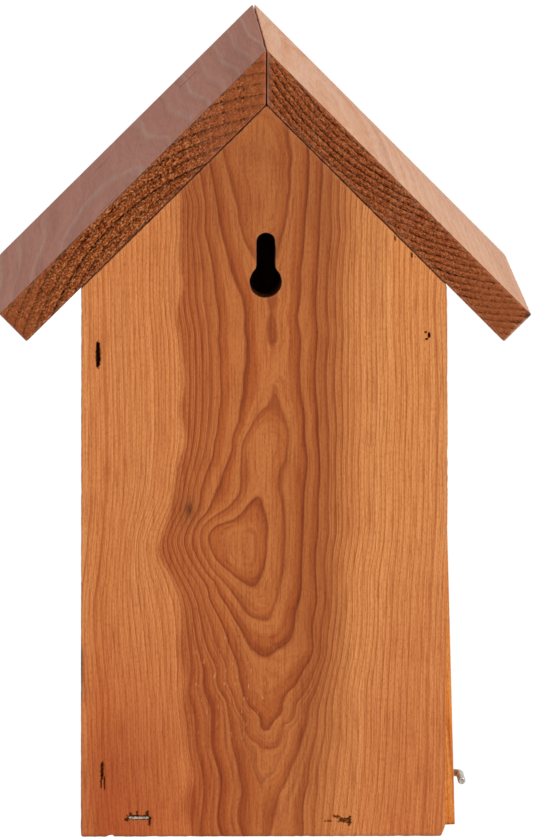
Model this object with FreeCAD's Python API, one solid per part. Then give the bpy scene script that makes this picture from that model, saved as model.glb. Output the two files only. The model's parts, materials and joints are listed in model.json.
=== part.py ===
import FreeCAD, Part
import math
import os

from FreeCAD import Placement, Rotation, Vector

# Nest box of planed boards, in millimetres, with +Z up and the origin under its middle.
# The entrance faces -Y and the panel that hangs on the wall faces +Y. Left and right are as
# seen by someone facing the entrance, so the side door is on the left, at -X.

# Boards and the box that they make; the back panel stands past the other walls by its margin
board_thickness = 16.0
body_width = 148.0
body_depth = 152.0
back_panel_margin = 2.0
wall_height = 233.5
roof_pitch_deg = 45.0
roof_slope_length = 156.0
roof_front_overhang = 28.0
ridge_gap = 0.4

# Entrance in the front panel, placed below the eaves line
entrance_diameter = 32.0
entrance_eaves_drop = 53.5

# Keyhole in the back panel: a round hole for a screw head and a slot above it for the shank
keyhole_head_diameter = 13.0
keyhole_slot_width = 7.5
keyhole_apex_drop = 73.6
keyhole_slot_rise = 16.5

# Drain holes in the floor, set in from its corners
drain_diameter = 6.0
drain_inset = 26.0

# Side door, which hangs on two nails and stands a little ajar
door_ajar_deg = 1.9
door_side_gap = 0.4
door_stop_gap = 0.3
door_bottom_gap = 1.0
door_top_gap = 2.5
pivot_eaves_drop = 21.0
pivot_inset = 6.8

# Pivot nails, with their heads sunk in the front and back panels
nail_diameter = 2.2
nail_door_reach = 24.0
nail_point_length = 3.0
nail_head_diameter = 3.4
nail_head_height = 1.5
nail_head_sink = 0.8
nail_seat_clearance = 0.02
nail_running_clearance = 0.05
nail_end_clearance = 1.0

# Screw hook through the foot of the door, bent square, with its arm towards the back
hook_wire_diameter = 3.2
hook_bend_radius = 3.0
hook_standoff = 5.8
hook_arm_length = 18.0
hook_end_rounding = 0.7
hook_reach_past_door = 3.2
hook_point_length = 6.0
hook_point_diameter = 0.4
hook_height = 9.5
hook_forward_offset = 8.0
hook_running_clearance = 0.05
pilot_diameter = 2.6
pilot_depth = 12.0

# Driven staples, with their crowns sunk a little below the wood, or driven in deep
staple_crown = 9.0
staple_leg_length = 30.0
staple_wire_width = 1.2
staple_wire_thickness = 1.0
staple_corner_radius = 0.8
staple_point_bevel = 1.0
staple_sink = 0.4
staple_deep_sink = 1.8
staple_pocket_clearance = 0.1
side_staple_bottom_inset = 26.0
side_staple_eaves_drop = 29.5
side_staple_inset = 6.0
floor_staple_door_inset = 27.0
floor_staple_fixed_inset = 6.0
side_floor_staple_inset = 28.0
roof_staple_apex_inset = 25.0
roof_staple_eaves_inset = 27.5

# Levels and faces worked out from the sizes above
pitch = math.radians(roof_pitch_deg)
half_width = body_width / 2
half_inside = half_width - board_thickness
apex_height = wall_height + half_width * math.tan(pitch)
roof_depth = body_depth + roof_front_overhang
back_face = roof_depth / 2
front_face = back_face - body_depth
back_inside = back_face - board_thickness
front_inside = front_face + board_thickness
middle_of_sides = (back_inside + front_inside) / 2
pivot_x = -half_width + pivot_inset
pivot_height = wall_height - pivot_eaves_drop

ALONG_X = Vector(1, 0, 0)
ALONG_Y = Vector(0, 1, 0)
ALONG_Z = Vector(0, 0, 1)


def profile_board(outline, start_y, end_y):
    """A board whose outline is a list of (x, z) corners, carried from start_y to end_y."""
    corners = [Vector(x, start_y, z) for x, z in outline]
    face = Part.Face(Part.makePolygon(corners + corners[:1]))
    return face.extrude(ALONG_Y * (end_y - start_y))


def drill(diameter, mouth, direction, depth):
    """A round cutter that starts at mouth and runs along direction."""
    return Part.makeCylinder(diameter / 2, depth, mouth, direction)


def roof_height_over(x):
    """Height of the roof's underside at a distance x from the ridge line."""
    return apex_height - abs(x) * math.tan(pitch)


def gable_panel(half, start_y, end_y):
    """A five-cornered board, half wide on each side of the middle: the front or the back of the box."""
    eaves = roof_height_over(half)
    outline = [(-half, 0), (half, 0), (half, eaves), (0, apex_height), (-half, eaves)]
    return profile_board(outline, start_y, end_y)


def keyhole_cutter():
    """The hanging hole: a round hole and a round-ended slot above it, right through the panel."""
    head = Vector(0, back_inside, apex_height - keyhole_apex_drop)
    slot_end = head + ALONG_Z * keyhole_slot_rise
    half_slot = ALONG_X * (keyhole_slot_width / 2)
    round_hole = drill(keyhole_head_diameter, head, ALONG_Y, board_thickness)
    slot_sides = [head - half_slot, head + half_slot, slot_end + half_slot, slot_end - half_slot]
    slot = Part.Face(Part.makePolygon(slot_sides + slot_sides[:1])).extrude(ALONG_Y * board_thickness)
    slot_top = drill(keyhole_slot_width, slot_end, ALONG_Y, board_thickness)
    return round_hole.multiFuse([slot, slot_top]).removeSplitter()


def entrance_cutter():
    """The round way in, right through the front panel."""
    centre = Vector(0, front_face, wall_height - entrance_eaves_drop)
    return drill(entrance_diameter, centre, ALONG_Y, board_thickness)


def fixed_side_panel():
    """The right side: a board between the panels, bevelled on top to the slope of the roof."""
    outline = [
        (half_inside, 0),
        (half_width, 0),
        (half_width, wall_height),
        (half_inside, roof_height_over(half_inside)),
    ]
    return profile_board(outline, front_inside, back_inside)


def floor_panel():
    """The floor between the four walls, with drain holes and the pilot hole for the hook."""
    left_edge = -half_inside + door_stop_gap
    outline = [
        (left_edge, 0),
        (half_inside, 0),
        (half_inside, board_thickness),
        (left_edge, board_thickness),
    ]
    floor = profile_board(outline, front_inside, back_inside)
    pilot_mouth = Vector(left_edge, middle_of_sides - hook_forward_offset, hook_height)
    cutters = [drill(pilot_diameter, pilot_mouth, ALONG_X, pilot_depth)]
    for x in (-half_inside + drain_inset, half_inside - drain_inset):
        for y in (front_inside + drain_inset, back_inside - drain_inset):
            cutters.append(drill(drain_diameter, Vector(x, y, 0), ALONG_Z, board_thickness))
    return floor.cut(cutters)


def roof_board(side):
    """One slope of the roof, mitred at the ridge; side is 1 for the right and -1 for the left."""
    ridge_top = apex_height + board_thickness / math.cos(pitch)
    mitre = ridge_gap / 2
    mitre_drop = mitre * math.tan(pitch)
    eave_x = roof_slope_length * math.cos(pitch)
    eave_z = ridge_top - roof_slope_length * math.sin(pitch)
    outline = [
        (side * mitre, apex_height - mitre_drop),
        (side * mitre, ridge_top - mitre_drop),
        (side * eave_x, eave_z),
        (
            side * (eave_x - board_thickness * math.sin(pitch)),
            eave_z - board_thickness * math.cos(pitch),
        ),
    ]
    return profile_board(outline, front_face - roof_front_overhang, back_face)


def swing_ajar(shape):
    """Turn a closed door piece about the pivot nails to where it stands ajar."""
    turned = shape.copy()
    turned.rotate(Vector(pivot_x, 0, pivot_height), ALONG_Y, door_ajar_deg)
    return turned


def side_door():
    """The left side, which swings out at the foot: clear of the roof, the panels and the floor."""
    outline = [
        (-half_width, door_bottom_gap),
        (-half_inside, door_bottom_gap),
        (-half_inside, roof_height_over(half_inside) - door_top_gap),
        (-half_width, wall_height - door_top_gap),
    ]
    door_front = front_inside + door_side_gap
    door_back = back_inside - door_side_gap
    door = profile_board(outline, door_front, door_back)
    pivot_bore = nail_diameter + 2 * nail_running_clearance
    bore_depth = nail_door_reach - door_side_gap + nail_end_clearance
    hook_mouth = Vector(-half_width, middle_of_sides - hook_forward_offset, hook_height)
    hook_bore = hook_wire_diameter + 2 * hook_running_clearance
    cutters = [
        drill(pivot_bore, Vector(pivot_x, door_front, pivot_height), ALONG_Y, bore_depth),
        drill(pivot_bore, Vector(pivot_x, door_back, pivot_height), -ALONG_Y, bore_depth),
        drill(hook_bore, hook_mouth, ALONG_X, board_thickness),
    ]
    return swing_ajar(door.cut(cutters))


def screw_hook():
    """Round wire bent square: a pointed shank through the door and an arm along its face."""
    shank_y = middle_of_sides - hook_forward_offset
    arm_x = -half_width - hook_standoff
    point_base = Vector(-half_inside + hook_reach_past_door - hook_point_length, shank_y, hook_height)
    bend_start = Vector(arm_x + hook_bend_radius, shank_y, hook_height)
    bend_centre = bend_start + ALONG_Y * hook_bend_radius
    inward = Vector(-1, -1, 0).normalize()
    bend_middle = bend_centre + inward * hook_bend_radius
    bend_end = bend_centre - ALONG_X * hook_bend_radius
    arm_end = Vector(arm_x, shank_y + hook_arm_length, hook_height)
    path = Part.Wire([
        Part.LineSegment(point_base, bend_start).toShape(),
        Part.Arc(bend_start, bend_middle, bend_end).toShape(),
        Part.LineSegment(bend_end, arm_end).toShape(),
    ])
    wire_radius = hook_wire_diameter / 2
    section = Part.Wire(Part.makeCircle(wire_radius, point_base, ALONG_X))
    bent_wire = path.makePipeShell([section], True, False)
    end_rim = [
        edge for edge in bent_wire.Edges if edge.CenterOfMass.distanceToPoint(arm_end) < wire_radius / 2
    ]
    bent_wire = bent_wire.makeFillet(hook_end_rounding, end_rim)
    point = Part.makeCone(wire_radius, hook_point_diameter / 2, hook_point_length, point_base, ALONG_X)
    return swing_ajar(bent_wire.fuse(point).removeSplitter())


def pivot_nail(outer_face, inward):
    """A nail driven through a panel into the door's edge; inward points from the face to the door."""
    head_top = Vector(pivot_x, outer_face, pivot_height) + inward * nail_head_sink
    length = board_thickness - nail_head_sink + nail_door_reach
    head = Part.makeCylinder(nail_head_diameter / 2, nail_head_height, head_top, inward)
    shank = Part.makeCylinder(nail_diameter / 2, length - nail_point_length, head_top, inward)
    point_base = head_top + inward * (length - nail_point_length)
    point = Part.makeCone(nail_diameter / 2, 0, nail_point_length, point_base, inward)
    return head.multiFuse([shank, point]).removeSplitter()


def nail_cutter(outer_face, inward):
    """The hole that a pivot nail fills in its panel, with the deeper part for its head."""
    mouth = Vector(pivot_x, outer_face, pivot_height)
    head_bore = nail_head_diameter + 2 * nail_seat_clearance
    shank_bore = nail_diameter + 2 * nail_seat_clearance
    head = drill(head_bore, mouth, inward, nail_head_sink + nail_head_height)
    return head.fuse(drill(shank_bore, mouth, inward, board_thickness))


def seat_on(point, outward, crown_direction, sink=staple_sink):
    """Where a staple sits: its crown's middle on a face, the ways that it faces and runs, and its depth."""
    turn = Rotation(crown_direction, outward.cross(crown_direction), outward, "ZXY")
    return Placement(point, turn), sink


def staple(seat):
    """A wire staple of flat section with rounded shoulders and bevelled points."""
    place, sink = seat
    half = staple_crown / 2
    inner = half - staple_wire_thickness
    foot = -staple_leg_length
    outer_side = foot + staple_point_bevel
    radius = staple_corner_radius
    cut_corner = radius * (1 - math.sqrt(0.5))
    corners = [
        Vector(half - radius, 0, 0),
        Vector(half - cut_corner, 0, -cut_corner),
        Vector(half, 0, -radius),
        Vector(half, 0, outer_side),
        Vector(inner, 0, foot),
        Vector(inner, 0, -staple_wire_thickness),
    ]
    mirrored = [Vector(-corner.x, 0, corner.z) for corner in corners]
    edges = [
        Part.LineSegment(mirrored[0], corners[0]),
        Part.Arc(*corners[:3]),
        Part.LineSegment(corners[2], corners[3]),
        Part.LineSegment(corners[3], corners[4]),
        Part.LineSegment(corners[4], corners[5]),
        Part.LineSegment(corners[5], mirrored[5]),
        Part.LineSegment(mirrored[5], mirrored[4]),
        Part.LineSegment(mirrored[4], mirrored[3]),
        Part.LineSegment(mirrored[3], mirrored[2]),
        Part.Arc(mirrored[2], mirrored[1], mirrored[0]),
    ]
    face = Part.Face(Part.Wire([edge.toShape() for edge in edges]))
    face.translate(Vector(0, -staple_wire_width / 2, -sink))
    solid = face.extrude(ALONG_Y * staple_wire_width)
    solid.Placement = place.multiply(solid.Placement)
    return solid


def crown_pocket(seat):
    """The groove that a staple's crown presses into the face of its board."""
    place, sink = seat
    length = staple_crown + 2 * staple_pocket_clearance
    width = staple_wire_width + 2 * staple_pocket_clearance
    depth = sink + staple_wire_thickness
    pocket = Part.makeBox(length, width, depth, Vector(-length / 2, -width / 2, -depth))
    pocket.Placement = place.multiply(pocket.Placement)
    return pocket


def panel_side_seats(face, outward):
    """Seats of the deep staples that hold the fixed side, up the edge of a gable panel."""
    heights = (side_staple_bottom_inset, wall_height - side_staple_eaves_drop)
    x = half_width - side_staple_inset
    return [seat_on(Vector(x, face, z), outward, ALONG_Z, staple_deep_sink) for z in heights]


def panel_floor_seats(face, outward):
    """Seats of the staples that hold the floor, along the foot of a gable panel: one deep, one in sight."""
    z = board_thickness / 2
    deep = Vector(-half_inside + floor_staple_door_inset, face, z)
    in_sight = Vector(half_inside - floor_staple_fixed_inset, face, z)
    return [seat_on(deep, outward, ALONG_X, staple_deep_sink), seat_on(in_sight, outward, ALONG_X)]


def side_floor_seats():
    """Seats of the staples through the fixed side into the floor's edge."""
    places = (front_inside + side_floor_staple_inset, back_inside - side_floor_staple_inset)
    return [seat_on(Vector(half_width, y, board_thickness / 2), ALONG_X, ALONG_Y) for y in places]


def roof_seats(side, y):
    """Seats of the staples through one slope of the roof into a gable panel at depth y."""
    downhill = Vector(side * math.cos(pitch), 0, -math.sin(pitch))
    outward = Vector(side * math.sin(pitch), 0, math.cos(pitch))
    gable_slope = half_width / math.cos(pitch)
    places = (roof_staple_apex_inset, gable_slope - roof_staple_eaves_inset)
    on_top = Vector(0, y, apex_height) + outward * board_thickness
    return [seat_on(on_top + downhill * place, outward, downhill) for place in places]


def build_nodes():
    """Every piece of the box, by name."""
    middle_of_back = back_face - board_thickness / 2
    middle_of_front = front_face + board_thickness / 2
    seats = {
        "back_side_staples": panel_side_seats(back_face, ALONG_Y),
        "back_floor_staples": panel_floor_seats(back_face, ALONG_Y),
        "front_side_staples": panel_side_seats(front_face, -ALONG_Y),
        "front_floor_staples": panel_floor_seats(front_face, -ALONG_Y),
        "side_floor_staples": side_floor_seats(),
        "left_roof_back_staples": roof_seats(-1, middle_of_back),
        "left_roof_front_staples": roof_seats(-1, middle_of_front),
        "right_roof_back_staples": roof_seats(1, middle_of_back),
        "right_roof_front_staples": roof_seats(1, middle_of_front),
    }

    def pockets(*groups):
        return [crown_pocket(seat) for group in groups for seat in seats[group]]

    back_cutters = [keyhole_cutter(), nail_cutter(back_face, -ALONG_Y)]
    back_cutters += pockets("back_side_staples", "back_floor_staples")
    front_cutters = [entrance_cutter(), nail_cutter(front_face, ALONG_Y)]
    front_cutters += pockets("front_side_staples", "front_floor_staples")
    left_roof_cutters = pockets("left_roof_back_staples", "left_roof_front_staples")
    right_roof_cutters = pockets("right_roof_back_staples", "right_roof_front_staples")
    nodes = {
        "back_panel": gable_panel(half_width + back_panel_margin, back_inside, back_face).cut(back_cutters),
        "front_panel": gable_panel(half_width, front_face, front_inside).cut(front_cutters),
        "fixed_side_panel": fixed_side_panel().cut(pockets("side_floor_staples")),
        "floor_panel": floor_panel(),
        "left_roof_board": roof_board(-1).cut(left_roof_cutters),
        "right_roof_board": roof_board(1).cut(right_roof_cutters),
        "side_door": side_door(),
        "screw_hook": screw_hook(),
        "back_pivot_nail": pivot_nail(back_face, -ALONG_Y),
        "front_pivot_nail": pivot_nail(front_face, ALONG_Y),
    }
    for name, places in seats.items():
        nodes[name] = Part.makeCompound([staple(seat) for seat in places])
    return nodes


os.makedirs("parts", exist_ok=True)
for node_name, shape in build_nodes().items():
    shape.exportStep("parts/" + node_name + ".step")
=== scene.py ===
"""A wooden nest box with a gable roof, seen from behind: boards, fasteners, hook, stage and camera."""

import json
import logging
import math
from dataclasses import dataclass, field
from enum import Enum
from typing import Callable

import bpy
import numpy as np
from mathutils import Matrix, Vector
from mathutils.geometry import delaunay_2d_cdt


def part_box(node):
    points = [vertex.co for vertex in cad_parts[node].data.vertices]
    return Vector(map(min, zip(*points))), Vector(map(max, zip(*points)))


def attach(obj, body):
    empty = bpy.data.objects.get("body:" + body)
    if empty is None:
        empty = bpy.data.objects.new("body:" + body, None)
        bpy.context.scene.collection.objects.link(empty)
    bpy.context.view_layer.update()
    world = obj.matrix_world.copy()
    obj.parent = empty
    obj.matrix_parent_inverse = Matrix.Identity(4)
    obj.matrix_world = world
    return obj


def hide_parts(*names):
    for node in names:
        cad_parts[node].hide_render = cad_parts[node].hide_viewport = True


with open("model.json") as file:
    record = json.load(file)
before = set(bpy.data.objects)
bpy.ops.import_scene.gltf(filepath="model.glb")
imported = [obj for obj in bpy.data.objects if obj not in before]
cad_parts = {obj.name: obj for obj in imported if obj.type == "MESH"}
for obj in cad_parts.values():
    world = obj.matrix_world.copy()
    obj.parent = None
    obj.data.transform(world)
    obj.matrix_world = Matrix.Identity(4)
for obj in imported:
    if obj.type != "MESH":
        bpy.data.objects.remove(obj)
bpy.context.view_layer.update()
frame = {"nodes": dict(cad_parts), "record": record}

MM = 0.001
ROOF_PITCH = math.radians(45.0)
# Where the hook's shank meets the closed door, in millimetres
HOOK_Y = 6.0
HOOK_Z = 9.5
# Patterns per millimetre: ring waves of 6 mm, clouds of 20 mm, and nicks and tarnish of about 1 mm
WAVES_PER_MM = 0.16
CLOUDS_PER_MM = 0.05
NICKS_PER_MM = 0.9
TARNISH_PER_MM = 0.8
# Fibres of 0.03 mm and pores of 0.2 mm are too fine to show, so both are drawn coarser than real
FIBRES_PER_MM = 1.1
PORES_PER_MM = 1.7
TINY = 1e-12
# Places nearer than this in a face are one, and fine grids keep this far from its rim, in millimetres
WELD = 1e-7
RIM_GAP = 0.25
# Places that are tested against a loop at a time
BLOCK = 3000
ATTRIBUTES = ("ring", "end", "edge", "tear", "tone", "scuff", "shade", "sap")
LOG = logging.getLogger("nest_box")

Array = np.ndarray
Field = Callable[[Array], Array]
Socket = bpy.types.NodeSocket
Point = tuple[float, float, float]
X, Y, Z = np.eye(3)


class Body(Enum):
    """The moving bodies of the box."""

    CARCASS = "carcass"
    DOOR = "door"
    HOOK = "hook"


class Slot(Enum):
    """The record's material slots, one named by each board."""

    GABLES = "gable_boards"
    SIDES = "side_boards"
    ROOF = "roof_boards"
    HOOK = "zinc_hook"


def linear(hex_colour: str) -> tuple[float, float, float, float]:
    """Convert an sRGB hex colour to linear RGBA.

    Args:
        hex_colour: six hex digits after a hash sign.

    Returns:
        Linear red, green, blue and an alpha of one.
    """
    srgb = np.array([int(hex_colour[at : at + 2], 16) for at in (1, 3, 5)]) / 255.0
    value = np.where(srgb <= 0.04045, srgb / 12.92, ((srgb + 0.055) / 1.055) ** 2.4)
    return (float(value[0]), float(value[1]), float(value[2]), 1.0)


def box_mm(node: str) -> tuple[Array, Array]:
    """Lowest and highest corner of a CAD node, in millimetres."""
    low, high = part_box(node)
    return np.array(low) / MM, np.array(high) / MM


def smooth_step(low: float, high: float, value: Array) -> Array:
    """Cubic ramp from 0 at low to 1 at high, flat outside, also for low above high."""
    t = np.clip((value - low) / (high - low), 0.0, 1.0)
    return t * t * (3.0 - 2.0 * t)


def ripple(points: Array, period: float, seed: int, waves: int = 14) -> Array:
    """A smooth random field: the mean of plane waves of about one period in random directions.

    Args:
        points: places, one row each, in millimetres.
        period: mean wavelength in millimetres.
        seed: seed of the directions and phases.
        waves: number of waves.

    Returns:
        One value per row, with a spread of about one.
    """
    rng = np.random.default_rng(seed)
    direction = rng.normal(size=(waves, points.shape[1]))
    direction /= np.linalg.norm(direction, axis=1, keepdims=True)
    pace = 2.0 * math.pi / (period * rng.uniform(0.65, 1.5, waves))
    phase = rng.uniform(0.0, 2.0 * math.pi, waves)
    return np.sin(points @ direction.T * pace + phase).sum(axis=1) * math.sqrt(2.0 / waves)


class Shader:
    """The node tree of a material or of the world while it is being put together."""

    def __init__(self, owner: bpy.types.Material | bpy.types.World) -> None:
        """Start with an empty tree."""
        owner.use_nodes = True
        self.owner = owner
        self.tree = owner.node_tree
        self.tree.nodes.clear()

    def add(
        self, kind: str, inputs: dict[int | str, object], out: int | str | None = 0, **settings: object
    ) -> Socket | None:
        """Add one node, set it up and link it.

        Args:
            kind: node type without its ShaderNode prefix.
            inputs: socket name or index to a value or to another node's output.
            out: name or index of the output to hand back, or None.
            settings: node properties; stops is a list of (position, grey or colour) for a ramp.

        Returns:
            The chosen output socket.
        """
        node = self.tree.nodes.new("ShaderNode" + kind)
        for key, value in settings.items():
            if key != "stops":
                setattr(node, key, value)
                continue
            elements = node.color_ramp.elements
            for _ in range(len(value) - 2):
                elements.new(0.5)
            for element, (position, shade) in zip(elements, value):
                element.position = position
                element.color = linear(shade) if isinstance(shade, str) else (shade, shade, shade, 1.0)
        for key, value in inputs.items():
            if isinstance(value, Socket):
                self.tree.links.new(value, node.inputs[key])
            else:
                node.inputs[key].default_value = value
        return None if out is None else node.outputs[out]

    def finish(self, surface: Socket) -> bpy.types.Material | bpy.types.World:
        """Link the surface to the tree's output and hand back the tree's owner."""
        kind = "OutputWorld" if isinstance(self.owner, bpy.types.World) else "OutputMaterial"
        self.add(kind, {"Surface": surface}, out=None)
        return self.owner


@dataclass(frozen=True)
class WoodFinish:
    """A planed softwood board: growth rings on its faces, sawn end grain, worn edges and torn fibre.

    Heart and sap are the colours of a ring's early wood, band and late line; without sap, heart serves for
    both. On sawn ends, end_grit is flecks per millimetre, coarser than real fibre ends so that they show,
    end_lines and end_band are the strength of the rings, and end_draw stretches the flecks along end_run.
    """

    name: str
    heart: tuple[str, str, str]
    sap: tuple[str, str, str] | None = None
    end_light: str = "#8f4b26"
    end_dark: str = "#44200f"
    end_fleck: str = "#c07c46"
    end_plain: str = "#93502e"
    torn: str = "#1d0c06"
    split: str = "#8f4a18"
    worn: str = "#d09a6c"
    scuffed: str = "#e2ab7c"
    # Tint of painted shade and of dark marks
    blush: str = "#de8a62"
    shade_and_mark_tint: str = "#5c4a40"
    stretch: Point = (1.0, 1.0, 0.05)
    pore_stretch: Point = (1.0, 1.0, 0.35)
    grain: float = 0.75
    half_lines: float = 1.0
    end_grit: float = 1.15
    end_lines: float = 0.7
    end_band: float = 0.3
    end_draw: float = 0.4
    end_run: Point = (0.0, 0.0, 0.0)
    sway: float = 0.2
    wear: float = 0.35
    roughness: float = 0.66
    sheen_level: float = 0.2

    def rings(self, sh: Shader, marks: dict[str, Socket]) -> tuple[Socket, Socket, Socket]:
        """Number the rings: each runs from pale early wood through a band to a dark line, then starts pale.

        Args:
            sh: the material's tree.
            marks: the board's attributes and places.

        Returns:
            Ring count, strength of the band and strength of the dark line.
        """
        # Rings wander a little along the board, and the outer ones also bunch up and thin out
        wander = sh.add("TexNoise", {"Vector": marks["along"], "Scale": WAVES_PER_MM, "Detail": 3.0}, "Fac")
        sway = sh.add("MapRange", {"Value": wander, "To Min": -self.sway, "To Max": self.sway})
        noise = {"W": marks["ring"], "Scale": 0.55, "Detail": 1.0}
        bunch = sh.add("TexNoise", noise, "Fac", noise_dimensions="1D")
        bunch = sh.add("Math", {0: bunch, 1: marks["sap"]}, operation="MULTIPLY")
        count = sh.add("Math", {0: marks["ring"], 1: sway}, operation="ADD")
        count = sh.add("Math", {0: bunch, 1: 1.3, 2: count}, operation="MULTIPLY_ADD")
        phase = sh.add("Math", {0: count}, operation="FRACT")
        number = sh.add("Math", {0: count}, operation="FLOOR")
        chance = sh.add("TexWhiteNoise", {"W": number}, "Value", noise_dimensions="1D")
        vary = sh.add("Math", {0: chance, 1: 0.4, 2: 0.6}, operation="MULTIPLY_ADD")
        span = {"From Min": 0.15, "From Max": 0.65, "To Min": 1.0, "To Max": 0.3}
        faded = sh.add("MapRange", {"Value": marks["tone"], **span})
        vary = sh.add("Math", {0: vary, 1: faded}, operation="MULTIPLY")
        band = [(0.0, 0.3), (0.07, 0.0), (0.42, 0.0), (0.58, 0.75), (0.9, 1.0), (1.0, 0.8)]
        line = [(0.0, 0.5), (0.08, 0.0), (0.76, 0.0), (0.92, 0.8), (0.97, 1.0), (1.0, 0.9)]
        ramps = [sh.add("ValToRGB", {0: phase}, stops=stops) for stops in (band, line)]
        warm, dark = (sh.add("Math", {0: ramp, 1: vary}, operation="MULTIPLY") for ramp in ramps)

        # Faint lines between the rings outside the heart's widest ones
        half = sh.add("Math", {0: count, 1: 2.0, 2: 0.3}, operation="MULTIPLY_ADD")
        half = sh.add("Math", {0: half}, operation="FRACT")
        between = sh.add("ValToRGB", {0: half}, stops=[(0.0, 0.3), (0.15, 0.0), (0.6, 0.0), (0.9, 0.42)])
        span = {"To Min": self.half_lines, "To Max": 0.6 * self.half_lines}
        outside = sh.add("MapRange", {"Value": marks["ring"], "From Min": 3.6, "From Max": 5.2})
        inner = sh.add("MapRange", {"Value": marks["sap"], **span})
        for share in (outside, inner):
            between = sh.add("Math", {0: between, 1: share}, operation="MULTIPLY")
        return count, warm, sh.add("Math", {0: dark, 1: between}, operation="MAXIMUM")

    def face(self, sh: Shader, marks: dict[str, Socket], rings: tuple[Socket, ...], fibre: Socket) -> Socket:
        """Colour a planed face: ring tints under streaks, fibres, pores, clouds, a blush and pale scuffs.

        Args:
            sh: the material's tree.
            marks: the board's attributes and places.
            rings: ring count and the strength of its band and line.
            fibre: noise of the straight fibres.

        Returns:
            The colour.
        """
        count, warm, dark = rings
        tints = [
            sh.add("Mix", {0: marks["sap"], 6: linear(red), 7: linear(pale)}, 2, data_type="RGBA")
            for red, pale in zip(self.heart, self.sap or self.heart)
        ]
        wood = sh.add("Mix", {0: warm, 6: tints[0], 7: tints[1]}, 2, data_type="RGBA")
        wood = sh.add("Mix", {0: dark, 6: wood, 7: tints[2]}, 2, data_type="RGBA")
        turned = sh.add("CombineXYZ", {"X": count, "Y": count, "Z": count})
        flow = sh.add("VectorMath", {0: turned, 1: (6.0, 4.0, 2.0)}, operation="MULTIPLY")
        slow = sh.add("VectorMath", {0: marks["along"], "Scale": 0.22}, operation="SCALE")
        flow = sh.add("VectorMath", {0: flow, 1: slow}, operation="ADD")
        flow = sh.add("TexNoise", {"Vector": flow, "Scale": 1.0, "Detail": 4.0, "Roughness": 0.7}, "Fac")
        short = sh.add("VectorMath", {0: marks["mm"], 1: self.pore_stretch}, operation="MULTIPLY")
        fine = {"Vector": short, "Scale": PORES_PER_MM, "Detail": 4.0, "Roughness": 0.75}
        pore = sh.add("TexNoise", fine, "Fac")
        cloud = sh.add("TexNoise", {"Vector": marks["along"], "Scale": CLOUDS_PER_MM, "Detail": 3.0}, "Fac")
        layers = [
            (self.grain, flow, [(0.34, "#cfa486"), (0.5, "#f7f2ee"), (0.66, "#ffffff")]),
            (self.grain, fibre, [(0.38, "#cda488"), (0.5, "#f8f4f1"), (0.62, "#ffffff")]),
            (self.grain, pore, [(0.36, "#c59a7c"), (0.5, "#f5efea"), (0.64, "#ffffff")]),
            (0.8, cloud, [(0.3, "#e3d5c9"), (0.5, "#ffffff"), (0.7, "#f3e2d0")]),
        ]
        tints = [(share, sh.add("ValToRGB", {0: noise}, stops=stops)) for share, noise, stops in layers]
        for share, tint in tints + [(marks["tone"], linear(self.blush))]:
            wood = sh.add("Mix", {0: share, 6: wood, 7: tint}, 2, data_type="RGBA", blend_type="MULTIPLY")
        sparse = {"Vector": short, "Scale": NICKS_PER_MM, "Detail": 2.0, "Distortion": 0.6}
        nick = sh.add("ValToRGB", {0: sh.add("TexNoise", sparse, "Fac")}, stops=[(0.64, 0.0), (0.7, 1.0)])
        for share in (marks["scuff"], 0.4):
            nick = sh.add("Math", {0: nick, 1: share}, operation="MULTIPLY")
        return sh.add("Mix", {0: nick, 6: wood, 7: linear(self.scuffed)}, 2, data_type="RGBA")

    def sawn(self, sh: Shader, marks: dict[str, Socket], rings: tuple[Socket, ...], fuzz: Socket) -> Socket:
        """Colour a sawn end: fuzzy fibre ends, plainer where the saw ran smooth, and dark rings.

        Args:
            sh: the material's tree.
            marks: the board's attributes and places.
            rings: ring count and the strength of its band and line.
            fuzz: noise of the fibre ends.

        Returns:
            The colour.
        """
        light = [(at, self.end_light) for at in (0.465, 0.53)]
        fleck = sh.add("ValToRGB", {0: fuzz}, stops=[(0.38, self.end_dark), *light, (0.63, self.end_fleck)])
        plain = sh.add("Math", {0: marks["tone"], 1: 1.4}, operation="MULTIPLY", use_clamp=True)
        fleck = sh.add("Mix", {0: plain, 6: fleck, 7: linear(self.end_plain)}, 2, data_type="RGBA")
        deep = sh.add("Math", {0: rings[1], 1: self.end_band, 2: rings[2]}, operation="MULTIPLY_ADD")
        span = {"To Min": 0.6 * self.end_lines, "To Max": 1.1 * self.end_lines}
        grainy = sh.add("MapRange", {"Value": fuzz, "From Min": 0.62, "From Max": 0.42, **span})
        deep = sh.add("Math", {0: deep, 1: grainy}, operation="MULTIPLY", use_clamp=True)
        return sh.add("Mix", {0: deep, 6: fleck, 7: linear(self.torn)}, 2, data_type="RGBA")

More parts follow.
